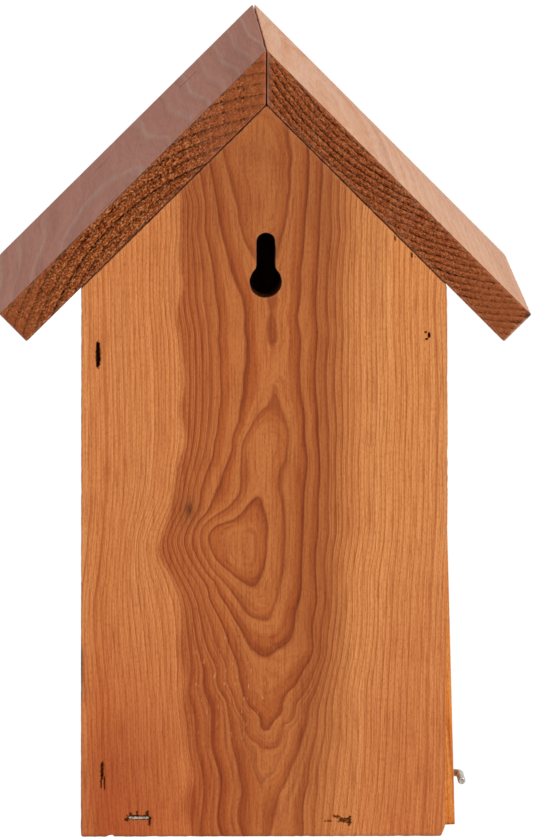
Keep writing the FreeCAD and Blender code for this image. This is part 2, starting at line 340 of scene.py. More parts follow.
    def material(self) -> bpy.types.Material:
        """Build the material from the attributes that a board's mesh carries.

        Returns:
            The material.
        """
        sh = Shader(bpy.data.materials.new(self.name))
        place = sh.add("TexCoord", {}, "Object")
        marks = {key: sh.add("Attribute", {}, "Fac", attribute_name=key) for key in ATTRIBUTES}
        mm = marks["mm"] = sh.add("VectorMath", {0: place, "Scale": 1.0 / MM}, operation="SCALE")
        marks["along"] = sh.add("VectorMath", {0: mm, 1: self.stretch}, operation="MULTIPLY")
        rings = self.rings(sh, marks)
        noise = {"Vector": marks["along"], "Scale": FIBRES_PER_MM, "Detail": 5.0, "Roughness": 0.65}
        fibre = sh.add("TexNoise", noise, "Fac")
        run = sh.add("VectorMath", {0: mm, 1: self.end_run}, 1, operation="DOT_PRODUCT")
        grit = sh.add("VectorMath", {0: self.end_run, "Scale": run}, operation="SCALE")
        grit = sh.add("VectorMath", {0: grit, "Scale": self.end_draw}, operation="SCALE")
        grit = sh.add("VectorMath", {0: mm, 1: grit}, operation="SUBTRACT")
        noise = {"Vector": grit, "Scale": self.end_grit, "Detail": 4.0, "Roughness": 0.6}
        fuzz = sh.add("TexNoise", noise, "Fac")
        face = self.face(sh, marks, rings, fibre)
        sawn = self.sawn(sh, marks, rings, fuzz)
        wood = sh.add("Mix", {0: marks["end"], 6: face, 7: sawn}, 2, data_type="RGBA")
        # Painted shade: the shade attribute darkens hole walls, an open joint and an arris towards this tint,
        # which also darkens knots and marks
        dim = {0: marks["shade"], 6: wood, 7: linear(self.shade_and_mark_tint)}
        wood = sh.add("Mix", dim, 2, data_type="RGBA", blend_type="MULTIPLY")

        # Worn arrises, then split and torn fibre round the fasteners
        rub = sh.add("Math", {0: marks["edge"], 1: fuzz}, operation="MULTIPLY")
        rub = sh.add("Math", {0: rub, 1: self.wear}, operation="MULTIPLY")
        split = sh.add("MapRange", {"Value": marks["tear"], "From Max": 0.5, "To Max": 0.65})
        gone = sh.add("MapRange", {"Value": marks["tear"], "From Min": 0.4, "From Max": 0.9})
        for share, colour in ((rub, self.worn), (split, self.split), (gone, self.torn)):
            wood = sh.add("Mix", {0: share, 6: wood, 7: linear(colour)}, 2, data_type="RGBA")

        relief = sh.add("Math", {0: rings[2], 1: 0.35, 2: fibre}, operation="MULTIPLY_ADD")
        rough_end = sh.add("Math", {0: fuzz, 1: 6.0}, operation="MULTIPLY")
        height = sh.add("Mix", {0: marks["end"], 2: relief, 3: rough_end}, 0, data_type="FLOAT")
        matt = sh.add("Math", {0: marks["tear"], 1: marks["end"]}, operation="MAXIMUM")
        sheen = sh.add("MapRange", {"Value": matt, "To Min": self.sheen_level, "To Max": 0.0})
        gloss = {
            "Base Color": wood,
            "Roughness": self.roughness,
            "Specular IOR Level": sheen,
            "Normal": sh.add("Bump", {"Height": height, "Strength": 0.35, "Distance": 0.15 * MM}),
        }
        return sh.finish(sh.add("BsdfPrincipled", gloss))


@dataclass(frozen=True)
class MetalFinish:
    """Drawn wire: bare steel or zinc, dulled in streaks and pits."""

    name: str
    bright: str
    dull: str
    roughness: float

    def material(self) -> bpy.types.Material:
        """Build a metal whose colour and roughness change in small patches.

        Returns:
            The material.
        """
        sh = Shader(bpy.data.materials.new(self.name))
        place = sh.add("TexCoord", {}, "Object")
        mm = sh.add("VectorMath", {0: place, "Scale": 1.0 / MM}, operation="SCALE")
        patch = sh.add("TexNoise", {"Vector": mm, "Scale": TARNISH_PER_MM, "Detail": 5.0}, "Fac")
        colour = sh.add("ValToRGB", {0: patch}, stops=[(0.35, self.dull), (0.65, self.bright)])
        span = {"Value": patch, "To Min": self.roughness + 0.15, "To Max": self.roughness - 0.1}
        rough = sh.add("MapRange", span)
        normal = sh.add("Bump", {"Height": patch, "Strength": 0.2, "Distance": 0.1 * MM})
        gloss = {"Base Color": colour, "Metallic": 1.0, "Roughness": rough, "Normal": normal}
        return sh.finish(sh.add("BsdfPrincipled", gloss))


@dataclass(frozen=True)
class Wound:
    """A ragged sunk place in a board's outer face, where a fastener was driven."""

    a: float
    b: float
    length: float
    width: float
    depth: float
    upright: bool = False
    seed: int = 1
    dark: float = 0.8
    ragged: float = 0.6
    tatter: float = 1.6
    fray: float = 0.8
    margin: float = 1.6
    step: float = 0.38

    def local(self, places: Array) -> Array:
        """Places about the wound's middle, with its length along the first axis."""
        moved = places - np.array([self.a, self.b])
        return moved[:, ::-1] if self.upright else moved

    def mask(self, places: Array) -> Array:
        """1 in the wound and 0 outside: a blunt ellipse whose rim is shifted by ripples."""
        u, v = self.local(places).T
        rim = (np.abs(u) / (self.length / 2)) ** 4 + (np.abs(v) / (self.width / 2)) ** 2
        coarse = 0.35 * ripple(places, self.tatter, self.seed)
        rim = rim + self.ragged * (coarse + 0.2 * ripple(places, self.fray, self.seed + 9))
        return smooth_step(1.5, 0.7, rim)

    def grid(self) -> Array:
        """A fine square grid of places over the wound and a margin round it."""
        half = np.array([self.length, self.width]) / 2 + self.margin
        u, v = (np.arange(-reach, reach, self.step) for reach in half)
        u, v = np.meshgrid(u, v)
        local = np.stack([u.ravel(), v.ravel()], 1)
        return (local[:, ::-1] if self.upright else local) + np.array([self.a, self.b])


@dataclass(frozen=True)
class Chip:
    """A bite out of a board's outer arris: a tent of that half width and depth."""

    a: float
    b: float
    half: float
    depth: float


def rectangle(left: float, foot: float, right: float, top: float) -> Array:
    """Four corners, turning left from the first."""
    return np.array([(left, foot), (right, foot), (right, top), (left, top)])


def halves(quads: Array) -> Array:
    """Two triangles for each four-cornered face."""
    return np.concatenate([quads[:, [0, 1, 2]], quads[:, [0, 2, 3]]])


def parabola(start: Array, middle: Array, stop: Array, count: int = 5) -> Array:
    """Places from start to stop on the parabola whose end tangents meet at middle."""
    t = np.linspace(0.0, 1.0, count).reshape(-1, *[1] * start.ndim)
    return (1 - t) ** 2 * start + 2 * t * (1 - t) * middle + t**2 * stop


def staggered(low: Array, high: Array, step: float, rise: float) -> Array:
    """Places on a grid whose every other row is shifted by half a step.

    Args:
        low: lowest corner.
        high: highest corner.
        step: step along a row.
        rise: step from row to row.

    Returns:
        The places, one row each.
    """
    a, b = np.meshgrid(np.arange(low[0], high[0], step), np.arange(low[1], high[1], rise))
    a = a + step / 2 * (np.arange(a.shape[0]) % 2)[:, None]
    return np.stack([a.ravel(), b.ravel()], 1)


def outline(corners: Array, counts: Array, radius: float) -> Array:
    """A closed loop round corners: straight sides between short parabolic corner arcs.

    Args:
        corners: corner places in order, one row each.
        counts: number of steps along each side.
        radius: length along each side that a corner's arc takes.

    Returns:
        The loop's places, one row each, without a repeated end.
    """
    ahead = np.roll(corners, -1, axis=0) - corners
    ahead /= np.linalg.norm(ahead, axis=1, keepdims=True)
    parts = []
    for index, corner in enumerate(corners):
        start = corner - radius * ahead[index - 1]
        stop = corner + radius * ahead[index]
        parts.append(parabola(start, corner, stop))
        onward = np.roll(corners, -1, axis=0)[index] - radius * ahead[index]
        steps = np.linspace(0.0, 1.0, counts[index] + 1)[1:-1, None]
        parts.append(stop + steps * (onward - stop))
    return np.concatenate(parts)


def loop_normals(loop: Array) -> Array:
    """Unit normals of a closed loop, to the right of its direction of travel."""
    tangent = np.roll(loop, -1, axis=0) - np.roll(loop, 1, axis=0)
    normal = np.stack([tangent[:, 1], -tangent[:, 0]], 1)
    return normal / np.linalg.norm(normal, axis=1, keepdims=True)


def inside_and_gap(places: Array, loops: list[Array]) -> tuple[Array, Array]:
    """Test places against closed loops by counting crossings, and measure the gap to the nearest side.

    Args:
        places: places to test.
        loops: outer loop and hole loops.

    Returns:
        Whether each place is in the material, and its distance from the nearest side.
    """
    start = np.concatenate(loops)
    stop = np.concatenate([np.roll(loop, -1, axis=0) for loop in loops])
    side = stop - start
    square = np.maximum((side**2).sum(1), TINY)
    rise = np.where(np.abs(side[:, 1]) < TINY, TINY, side[:, 1])
    within = np.zeros(len(places), bool)
    gap = np.zeros(len(places))
    for at in range(0, len(places), BLOCK):
        p = places[at : at + BLOCK, None, :]
        t = np.clip(((p - start) * side).sum(2) / square, 0.0, 1.0)
        gap[at : at + BLOCK] = np.sqrt((((start + t[..., None] * side) - p) ** 2).sum(2).min(1))
        spans = (start[:, 1] > p[..., 1]) != (stop[:, 1] > p[..., 1])
        crossing = start[:, 0] + (p[..., 1] - start[:, 1]) / rise * side[:, 0]
        within[at : at + BLOCK] = (spans & (p[..., 0] < crossing)).sum(1) % 2 == 1
    return within, gap


def fill_face(loops: list[Array], extra: list[Array], step: float) -> tuple[Array, Array, Array]:
    """Fill a flat face between its loops with triangles on a staggered grid of places.

    Args:
        loops: outer loop and hole loops, whose places are kept in order.
        extra: finer grids of places, which replace the staggered grid where they lie.
        step: grid step.

    Returns:
        Places (loop places first), triangles turning left, and each place's gap to the nearest side.
    """
    rim = np.concatenate(loops)
    grid = staggered(rim.min(0), rim.max(0), step, step * 0.9)
    for patch in extra:
        margin = step * 0.6
        outside = (grid < patch.min(0) - margin) | (grid > patch.max(0) + margin)
        grid = grid[outside.any(1)]
    within, gap = inside_and_gap(grid, loops)
    grid = grid[within & (gap > step * 0.55)]
    for patch in extra:
        within, gap = inside_and_gap(patch, loops)
        grid = np.concatenate([grid, patch[within & (gap > RIM_GAP)]])
    places = np.concatenate([rim, grid])
    numbers = np.split(np.arange(len(rim)), np.cumsum([len(loop) for loop in loops])[:-1])
    sides = np.concatenate([np.stack([run, np.roll(run, -1)], 1) for run in numbers])
    result = delaunay_2d_cdt(list(map(Vector, places.tolist())), sides.tolist(), [], 0, WELD)
    origin = np.array([ids[0] if ids else -1 for ids in result[3]])
    if (origin < 0).any() or len(origin) != len(places):
        raise ValueError(f"sides cross: {len(places)} places in, {len(origin)} out, {(origin < 0).sum()} new")
    triangles = origin[np.array(result[2])]
    on_rim = (triangles < len(rim)).all(1)
    middle = places[triangles].mean(1)
    keep = ~on_rim
    keep[on_rim] = inside_and_gap(middle[on_rim], loops)[0]
    triangles = triangles[keep]
    p, q, r = (places[triangles[:, k]] for k in range(3))
    turn = (q - p)[:, 0] * (r - p)[:, 1] - (q - p)[:, 1] * (r - p)[:, 0]
    triangles[turn < 0] = triangles[turn < 0][:, ::-1]
    return places, triangles, inside_and_gap(places, loops)[1]


@dataclass
class Board:
    """A board: an outer and an inner outline a thickness apart, with eased arrises, holes and wounds.

    The outlines are in the board's own axes a and b, with the grain along b, and depth c runs from the outer
    face inwards. A dent is a conical hole in the edge at the low end of a, given by its place in b and c, its
    radius and its depth. Tone, scuff, shade and sap spread colour over the places, which after then moves.
    """

    name: str
    slot: Slot
    finish: WoodFinish
    rings: Field
    origin: Array
    axes: Array
    outer: Array
    inner: Array
    thickness: float
    body: Body = Body.CARCASS
    holes: list[Array] = field(default_factory=list)
    wounds: list[Wound] = field(default_factory=list)
    chips: list[Chip] = field(default_factory=list)
    step: float = 2.0
    inner_step: float = 4.0
    side_step: float = 1.2
    arris: float = 0.35
    corner: float = 0.7
    rim: float = 0.3
    ragged: float = 0.12
    wear_period: float = 14.0
    wear_fine: float = 4.0
    inner_wear: float = 0.7
    chip_through: float = 0.3
    worn_width: float = 0.9
    worn_rings: tuple[float, float] = (4.6, 2.0)
    saw_marks: float = 0.0
    saw_coarse: float = 1.8
    saw_fine: float = 0.9
    saw_waves: int = 24
    dent: tuple[float, float, float, float] | None = None
    seed: int = 1
    after: Field | None = None
    tone: Field | None = None
    scuff: Field | None = None
    # Painted shade together with dark marks, as a share of the shade tint
    shade: Field | None = None
    sap: Callable[[Array, Array], Array] | None = None
    # Painted shade on the walls of holes that look into the dark box
    hole_shade: float = 0.0
    fine_area: tuple[float, float, float, float] | None = None
    fine_step: float = 0.9

    def loops(self) -> list[tuple[Array, Array]]:
        """Matched outer and inner loops of the outline and each hole, worn inwards by ripples and chips."""
        lengths = np.linalg.norm(np.roll(self.outer, -1, axis=0) - self.outer, axis=1)
        counts = np.maximum(2, np.ceil(lengths / self.side_step)).astype(int)
        corner = 2.0 * self.arris + self.corner
        pair = [outline(corners, counts, corner) for corners in (self.outer, self.inner)]
        found = []
        for index, (front, back) in enumerate([tuple(pair)] + [(hole, hole) for hole in self.holes]):
            out = loop_normals(front)
            fine = 0.6 * ripple(front, self.wear_fine, self.seed + 5)
            wear = self.ragged * np.abs(ripple(front, self.wear_period, self.seed + index) + fine)
            bite = np.zeros_like(front)
            for chip in self.chips:
                towards = front.mean(0) - np.array([chip.a, chip.b])
                towards /= np.linalg.norm(towards)
                far = np.linalg.norm(front - np.array([chip.a, chip.b]), axis=1)
                bite += chip.depth * np.clip(1.0 - far / chip.half, 0.0, 1.0)[:, None] * towards
            front_worn = front - out * wear[:, None] + bite
            inner_wear = loop_normals(back) * (wear * self.inner_wear)[:, None]
            found.append((front_worn, back - inner_wear + bite * self.chip_through))
        return found

    def side_rings(self, front: Array, back: Array, ease: float) -> Array:
        """The side wall as rings: rounded outer arris, straight wall, rounded inner arris.

        Each arris is a parabola from the face, inset by the easing, to the wall.

        Args:
            front: outer loop.
            back: matched inner loop.
            ease: size of the rounding.

        Returns:
            Rings of places in a, b, c.
        """
        top = np.column_stack([front, np.zeros(len(front))])
        foot = np.column_stack([back, np.full(len(back), self.thickness)])
        wall = foot - top
        wall /= np.linalg.norm(wall, axis=1, keepdims=True)
        out_top = np.column_stack([loop_normals(front), np.zeros(len(front))])
        out_foot = np.column_stack([loop_normals(back), np.zeros(len(back))])
        first = parabola(top - ease * out_top, top, top + ease * wall)
        last = parabola(foot - ease * wall, foot, foot - ease * out_foot)
        steps = max(2, int(round(self.thickness / self.side_step)))
        between = np.linspace(0.0, 1.0, steps + 1)[1:-1, None, None]
        middle = first[-1] + between * (last[0] - first[-1])
        return np.concatenate([first, middle, last])

    def sink(self, flat: Array, gap: Array) -> tuple[Array, Array]:
        """Depth and torn fibre of the wounds over the outer face, fading out at its rim.

        Args:
            flat: places on the face.
            gap: distance of each from the rim.

        Returns:
            Depth in millimetres and tear from 0 to 1, one value per place.
        """
        sunk, tear = np.zeros(len(flat)), np.zeros(len(flat))
        for wound in self.wounds:
            cover = wound.mask(flat) * smooth_step(0.1, 0.6, gap)
            rough = 0.75 + 0.3 * ripple(flat, 1.1, wound.seed + 3)
            sunk = np.maximum(sunk, cover * wound.depth * np.clip(rough, 0.3, 1.2))
            tear = np.maximum(tear, np.sqrt(cover) * wound.dark)
        return sunk, tear

    def roughen(self, rings: Array, out: Array, end: Array) -> None:
        """Press saw marks into end grain: the wall moves inwards by ripples times its share of end grain."""
        flat = rings.reshape(-1, 3)
        rough = ripple(flat, self.saw_coarse, self.seed + 21, self.saw_waves)
        rough = rough + 0.8 * ripple(flat, self.saw_fine, self.seed + 22, self.saw_waves)
        push = np.clip(0.5 + 0.4 * rough, 0.0, 1.6).reshape(end.shape) * end * self.saw_marks
        rings[:, :, :2] -= out[None] * push[:, :, None]

    def assemble(self) -> tuple[Array, Array, dict[str, Array]]:
        """Join the two faces and the side walls into one closed surface.

        Returns:
            Places in a, b, c, triangles facing outwards, and the end, edge, tear and shade attributes.
        """
        loops = self.loops()
        eases = [self.arris] + [self.rim] * len(self.holes)
        walls = [self.side_rings(front, back, ease) for (front, back), ease in zip(loops, eases)]
        patches = [wound.grid() for wound in self.wounds]
        if self.fine_area:
            patches.append(staggered(self.fine_area[:2], self.fine_area[2:], self.fine_step, self.fine_step))
        flat, front_tris, front_gap = fill_face([rings[0][:, :2] for rings in walls], patches, self.step)
        deep, back_tris, back_gap = fill_face([rings[-1][:, :2] for rings in walls], [], self.inner_step)
        sunk, tear = self.sink(flat, front_gap)
        base = len(flat) + len(deep)
        places = [np.column_stack([flat, sunk]), np.column_stack([deep, np.full(len(deep), self.thickness)])]
        triangles = [front_tris[:, ::-1], back_tris + len(flat)]
        ends, shades = [np.zeros(base)], [np.zeros(base)]
        edges = [smooth_step(self.worn_width, 0.0, gap) for gap in (front_gap, back_gap)]
        offset = 0
        for (front, _), rings in zip(loops, walls):
            count = len(front)
            wall = rings[1:-1].copy()
            out = loop_normals(front)
            end = (out[:, 1] ** 2)[None, :].repeat(len(wall), 0)
            if self.saw_marks > 0.0:
                self.roughen(wall, out, end)
            if self.dent and not offset:
                b, c, radius, depth = self.dent
                apart = np.hypot(wall[..., 1] - b, wall[..., 2] - c)
                wall[..., 0] += depth * np.clip(1.0 - apart / radius, 0.0, 1.0) * (out[:, 0] < -0.9)
            top = np.arange(count) + offset
            index = np.arange(len(wall) * count).reshape(len(wall), count) + base
            grid = np.vstack([top[None], index, top[None] + len(flat)])
            p, q = grid[:-1], grid[1:]
            quads = np.stack([p, np.roll(p, -1, axis=1), np.roll(q, -1, axis=1), q], -1).reshape(-1, 4)
            triangles.append(halves(quads))
            places.append(wall.reshape(-1, 3))
            ends.append(end.ravel())
            shades.append(np.full(end.size, self.hole_shade if offset else 0.0))
            near = np.minimum(np.arange(len(wall)), np.arange(len(wall))[::-1])
            edges.append(smooth_step(*self.worn_rings, near.astype(float)).repeat(count))
            base += len(wall) * count
            offset += count
        values = {"end": ends, "edge": edges, "tear": [tear, np.zeros(base - len(tear))], "shade": shades}
        joined = {key: np.concatenate(value) for key, value in values.items()}
        return np.concatenate(places), np.concatenate(triangles), joined

    def build(self) -> bpy.types.Object:
        """Make the board's object in the row frame, dress it and set it to ride on its body.

        Returns:
            The finished object.
        """
        places, triangles, values = self.assemble()
        world = self.origin + places @ self.axes
        if np.linalg.det(self.axes) < 0.0:
            triangles = triangles[:, ::-1]
        values["ring"] = self.rings(world)
        for key, spread in (("tone", self.tone), ("scuff", self.scuff), ("shade", self.shade)):
            values[key] = values.get(key, 0.0) + (spread(world) if spread else np.zeros(len(world)))
        values["sap"] = self.sap(world, values["ring"]) if self.sap else np.zeros(len(world))
        if self.after:
            world = self.after(world)
        piece = mesh_piece(self.name + "_wood", world, triangles, values)
        piece.data.materials.append(self.finish.material())
        hand_over(piece, self.body, self.name)
        return piece


def mesh_piece(name: str, places: Array, faces: Array, values: dict[str, Array]) -> bpy.types.Object:
    """Make a smooth-shaded mesh object from places in millimetres.

    Args:
        name: object name.
        places: places in the row frame.
        faces: place numbers, three or four to a row.
        values: float attributes by name, one value per place.

    Returns:
        The object, at the origin.
    """
    mesh = bpy.data.meshes.new(name)
    mesh.from_pydata((places * MM).tolist(), [], faces.tolist())
    for key, value in values.items():
        layer = mesh.attributes.new(key, "FLOAT", "POINT")
        layer.data.foreach_set("value", value.astype(np.float32))
    mesh.polygons.foreach_set("use_smooth", np.ones(len(mesh.polygons), bool))
    mesh.update()
    piece = bpy.data.objects.new(name, mesh)
    bpy.context.scene.collection.objects.link(piece)
    return piece


def hand_over(piece: bpy.types.Object, body: Body, node: str) -> None:
    """Let a piece ride on its body and stand for a CAD node, which is hidden."""
    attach(piece, body.value)
    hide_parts(node)
    LOG.info("%s stands for %s with %d faces", piece.name, node, len(piece.data.polygons))


@dataclass(frozen=True)
class PhotoPlane:
    """The photograph's 535 x 840 pixels laid on the back panel's outer face."""

    middle_px: float = 263.2
    lean: float = 0.0036
    foot_px: float = 836.1
    across: float = 0.418
    narrowing: float = 5.4e-6
    upwards: float = 0.4217

    def millimetres(self, pixels: Array) -> Array:
        """Panel places, x and z, of photograph pixels; the photograph's right is the box's -X."""
        rise = self.foot_px - pixels[:, 1]
        x = (self.middle_px + self.lean * rise - pixels[:, 0]) * (self.across - self.narrowing * rise)
        return np.stack([x, rise * self.upwards], 1)


@dataclass(frozen=True)
class GrowthLine:
    """One growth ring's dark line on the back panel, traced as photograph pixels."""

    ring: float
    trace: tuple[tuple[float, float], ...]


# The panel's figure: whole numbers are dark growth lines outwards from the heart, others lie between them
BACK_FIGURE = (
    # heart
    GrowthLine(1, (
        (259.3, 494.4), (263.1, 504.7), (266.3, 516.3), (267.6, 526.6), (266.3, 542), (265, 558.7),
        (259.3, 578), (252.8, 585), (246.4, 582.5), (238.7, 578), (227.1, 567.7), (219.4, 561.3),
        (213, 553.5), (207.8, 538), (209.8, 530.4), (215.6, 524), (224.6, 520.8), (233.5, 517.6),
        (246.4, 503.4), (252.8, 497),
    )),
    # heart band
    GrowthLine(0.5, (
        (224.6, 527.8), (237.4, 524), (250.3, 522), (256.7, 531.7), (258, 547), (255.4, 560), (240, 567.7),
        (229.7, 560), (222, 549.7), (220.7, 539.4),
    )),
    # heart middle
    GrowthLine(0.2, (
        (236, 545), (246, 540),
    )),
    # teardrop
    GrowthLine(2, (
        (274, 384.5), (276.6, 394), (279.2, 403), (285, 419.8), (288.2, 439), (286.9, 450.7), (283, 468.7),
        (281.1, 486.7), (285, 513.7), (285.6, 534.3), (284.3, 553.5), (278.5, 588.3), (273.4, 602.4),
        (266.3, 617.8), (256.7, 616.5), (247.7, 612.7), (233.5, 593.4), (216.8, 574), (205.3, 554.8),
        (200.1, 536.8), (206.6, 520), (225.8, 507.3), (238.7, 493), (240, 468.7), (241.9, 444), (250.3, 426),
        (260.5, 409.5), (266.3, 406.3), (270.8, 400.5), (272.8, 394),
    )),
    # teardrop band
    GrowthLine(1.5, (
        (266, 423), (275, 424), (255.4, 428.8), (250.3, 437.8), (245.8, 448), (280.5, 436), (279, 452),
        (274, 500), (275.5, 530), (275, 560), (260.5, 605), (270, 601),
    )),
    # teardrop middle
    GrowthLine(1.2, (
        (263, 445), (262, 465),
    )),
    # upper v
    GrowthLine(2, (
        (222.3, 149.6), (225.5, 162.4), (228.7, 175.3), (231.3, 188), (235.8, 202.3), (239, 213.8),
        (240.9, 229.3), (243.5, 238.3), (248.6, 248.5), (253.8, 257), (276.2, 258.8), (280.7, 239.5),
        (285.2, 219), (287.8, 202.3), (289.7, 189.4), (289.1, 171.4), (289.7, 149.6),
    )),
    # upper v band
    GrowthLine(1.55, (
        (233, 165), (246, 218), (252, 237), (279, 215), (283, 190), (283, 165),
    )),
    # tail
    GrowthLine(1.94, (
        (272.5, 300), (271.3, 320), (271.5, 340),
    )),
    # tail sides
    GrowthLine(2.25, (
        (262, 315), (262, 340), (281, 320), (281, 345), (273, 364), (274, 376), (266, 394), (282.5, 394),
    )),
    # tip
    GrowthLine(1.93, (
        (274.3, 398), (274.3, 408),
    )),
    # apex
    GrowthLine(1.3, (
        (256, 125), (256, 150), (257, 180), (258, 205),
    )),
    # third
    GrowthLine(3, (
        (208.8, 163.7), (212, 180.4), (217.1, 210), (220.3, 229.3), (225.5, 248.5), (232.5, 275.5),
        (241.5, 296.1), (244.5, 315.7), (246.2, 340), (245.8, 359.4), (242.5, 391.5), (238, 422.4),
        (232.3, 448), (225.8, 464.8), (219.4, 482.9), (205.3, 512.4), (195, 525.3), (192.4, 539.4),
        (198.8, 558.7), (214.3, 579.3), (227, 603.7), (240, 626.8), (252.8, 648.7), (266, 655), (278.5, 646),
        (292, 633.2), (296.5, 608.8), (301.7, 572.8), (303, 534.3), (306.2, 476.4), (307.5, 457),
        (304.9, 416), (299.7, 367), (297.2, 315.7), (300, 274), (303.9, 235.7), (307, 197), (308.4, 158.6),
    )),
    # below third
    GrowthLine(3.3, (
        (266, 668), (255, 664), (279, 660),
    )),
    # between third
    GrowthLine(3.5, (
        (265, 693), (253, 688), (283, 675), (296.7, 660), (308, 645),
    )),
    # fourth
    GrowthLine(4, (
        (201.7, 181.7), (204.3, 223), (210, 256.3), (213.9, 287), (217.5, 338.8), (219.4, 367), (217.5, 416),
        (213.6, 441.7), (206.6, 468.7), (200, 490), (184, 538), (196, 568), (209, 597), (225, 630),
        (231.7, 650), (238.3, 673), (243.3, 693), (250, 706.7), (260, 716), (270.5, 727), (275.5, 719),
        (283.3, 700), (296.7, 683), (311.7, 655), (317.5, 600), (318, 530), (317.5, 430), (317.5, 330),
        (317, 280), (319, 230), (322, 180),
    )),
    # below fourth
    GrowthLine(4.3, (
        (269, 738), (254, 728), (285, 717),
    )),
    # fifth
    GrowthLine(5, (
        (191.5, 182), (196, 230), (203, 300), (208, 335), (209, 380), (207, 430), (202, 458), (193, 490),
        (177, 538), (188, 568), (205, 608), (215, 640), (226, 680), (235, 703), (246, 720), (258, 742),
        (265.5, 763), (270, 748), (283, 723), (297, 702), (311, 680), (321, 652), (326, 600), (329.5, 530),
        (329.5, 430), (329, 330), (332, 230),
    )),
    # foot
    GrowthLine(5.38, (
        (262, 785), (258, 805), (258, 836),
    )),
    # sixth
    GrowthLine(6, (
        (187.5, 190), (191, 230), (200, 335), (201.5, 380), (199, 440), (188, 488), (171.5, 538), (182, 570),
        (198, 604), (217, 668), (226.7, 700), (231.7, 743), (238, 767), (241.7, 793), (243.3, 836),
        (271.7, 836), (276.7, 817), (283.3, 793), (293, 770), (301.7, 750), (309, 722), (319, 685),
        (328, 640), (333, 580), (337, 480), (337, 330), (341, 230),
    )),
    # seventh
    GrowthLine(7, (
        (184.5, 190), (187, 230), (194.5, 335), (195.5, 380), (192.5, 440), (167, 538), (177, 572),
        (191, 604), (205, 690), (211, 735), (220, 775), (222, 836), (307, 836), (312, 780), (320, 730),
        (329, 670), (339, 580), (343, 480), (345, 330), (347, 230),
    )),
    # eighth
    GrowthLine(8, (
        (181, 192), (183, 230), (188, 335), (189.5, 380), (187, 440), (163, 538), (172, 572), (184, 604),
        (188, 690), (196, 745), (201, 836), (318, 836), (322, 770), (330, 700), (344, 580), (349, 480),
        (351, 330),
    )),
    # ninth
    GrowthLine(9, (
        (177.5, 196), (178.5, 230), (181.5, 335), (183.5, 380), (182, 440), (173, 498), (159, 538),
        (167, 573), (177, 602), (181, 700), (189, 836), (325, 836), (338, 690), (349, 580), (355, 480),
        (357, 330), (358, 220),
    )),
    # twelfth
    GrowthLine(12, (
        (161, 215), (164, 335), (166, 440), (158, 500), (144, 540), (147, 573), (153, 602), (163, 700),
        (170, 836), (346, 836), (357, 690), (367, 570), (373, 450), (374.5, 330),
    )),
    # sixteenth
    GrowthLine(16, (
        (138, 235), (141, 335), (143, 440), (138, 500), (130, 540), (127, 573), (129, 602), (139, 700),
        (147, 836), (376, 836), (386, 690), (393, 560), (397, 330), (397, 240),
    )),
    # twentieth
    GrowthLine(20, (
        (116, 258), (118, 335), (121, 440), (119, 500), (115, 540), (112, 573), (108, 602), (116, 700),
        (124, 836), (405, 836), (412, 690), (418, 560), (421, 330), (421, 265),
    )),
    # outermost
    GrowthLine(24, (
        (94, 280), (95, 335), (97, 440), (96, 500), (93, 540), (89, 575), (86, 602), (92, 700), (101, 836),
        (434, 836), (438, 690), (442, 560), (444, 330), (444, 290),
    )),
)


@dataclass
class TracedRings:
    """Ring numbers over a panel, bent through traced growth lines like a thin plate.

    The plate is a sum of r^2 log r terms about the traced places plus a plane. Deeper wood lies nearer the
    heart, by fewer rings outside the core.
    """

    lines: tuple[GrowthLine, ...]
    plane: PhotoPlane
    face_y: float
    inwards: float
    unit: float = 100.0
    stiffness: float = 0.0004
    deeper: float = 0.22
    core: float = 3.0

    def __post_init__(self) -> None:
        """Solve for the plate's terms."""
        traced = [self.plane.millimetres(np.array(line.trace, float)) for line in self.lines]
        self.knots = np.concatenate(traced) / self.unit
        rings = np.concatenate([np.full(len(t), line.ring) for t, line in zip(traced, self.lines)])
        count = len(self.knots)
        plane = np.column_stack([np.ones(count), self.knots])
        system = np.zeros((count + 3, count + 3))
        system[:count, :count] = self.kernel(self.knots) + self.stiffness * np.eye(count)
        system[:count, count:] = plane
        system[count:, :count] = plane.T
        self.terms = np.linalg.solve(system, np.concatenate([rings, np.zeros(3)]))

    def kernel(self, places: Array) -> Array:
        """r^2 log r between places and the plate's knots."""
        square = ((places[:, None, :] - self.knots[None]) ** 2).sum(2)
        return 0.5 * square * np.log(np.maximum(square, TINY))

    def __call__(self, world: Array) -> Array:
        """Ring numbers at places in the row frame, in millimetres."""
        places = world[:, [0, 2]] / self.unit
        flat = self.kernel(places) @ self.terms[:-3] + self.terms[-3] + places @ self.terms[-2:]
        depth = (world[:, 1] - self.face_y) * self.inwards
        return flat - depth * self.deeper * self.core / np.maximum(flat, self.core)


@dataclass(frozen=True)
class SawnRings:
    """Ring numbers of a board cut from a log: distance from a pith line, wandering along the grain."""

    pith: Point
    grain: Point
    spacing: float
    wander: float = 4.0
    period: float = 130.0
    seed: int = 3
    fine: float = 0.12
    finer: float = 5.0
    first: float = 40.0

    def __call__(self, world: Array) -> Array:
        """Ring numbers at places in the row frame, in millimetres."""
        grain = np.array(self.grain) / np.linalg.norm(self.grain)
        from_pith = world - np.array(self.pith)
        along = from_pith @ grain
        across = from_pith - along[:, None] * grain
        drift = ripple(np.column_stack([along, across.sum(1) * 0.3]), self.period, self.seed)
        fine = ripple(np.column_stack([along, across.sum(1) * 0.8]), self.period / self.finer, self.seed + 1)
        radius = np.linalg.norm(across, axis=1) + self.wander * drift + self.fine * self.wander * fine
        return radius / self.spacing + self.first


# Oiled pine, red-brown at its heart and orange outside, with thin dark growth lines
GABLE_PINE = WoodFinish(
    "oiled_gable_pine", ("#c3773d", "#b05d26", "#8f4419"), ("#e29d5e", "#d88e4c", "#bd6f38"),
    sway=0.05, wear=0.15, grain=0.55,
)
# The same pine, paler and plainer, on the fixed side
SIDE_PINE = WoodFinish("oiled_side_pine", ("#dc935a", "#ce7d42", "#a9622f"))
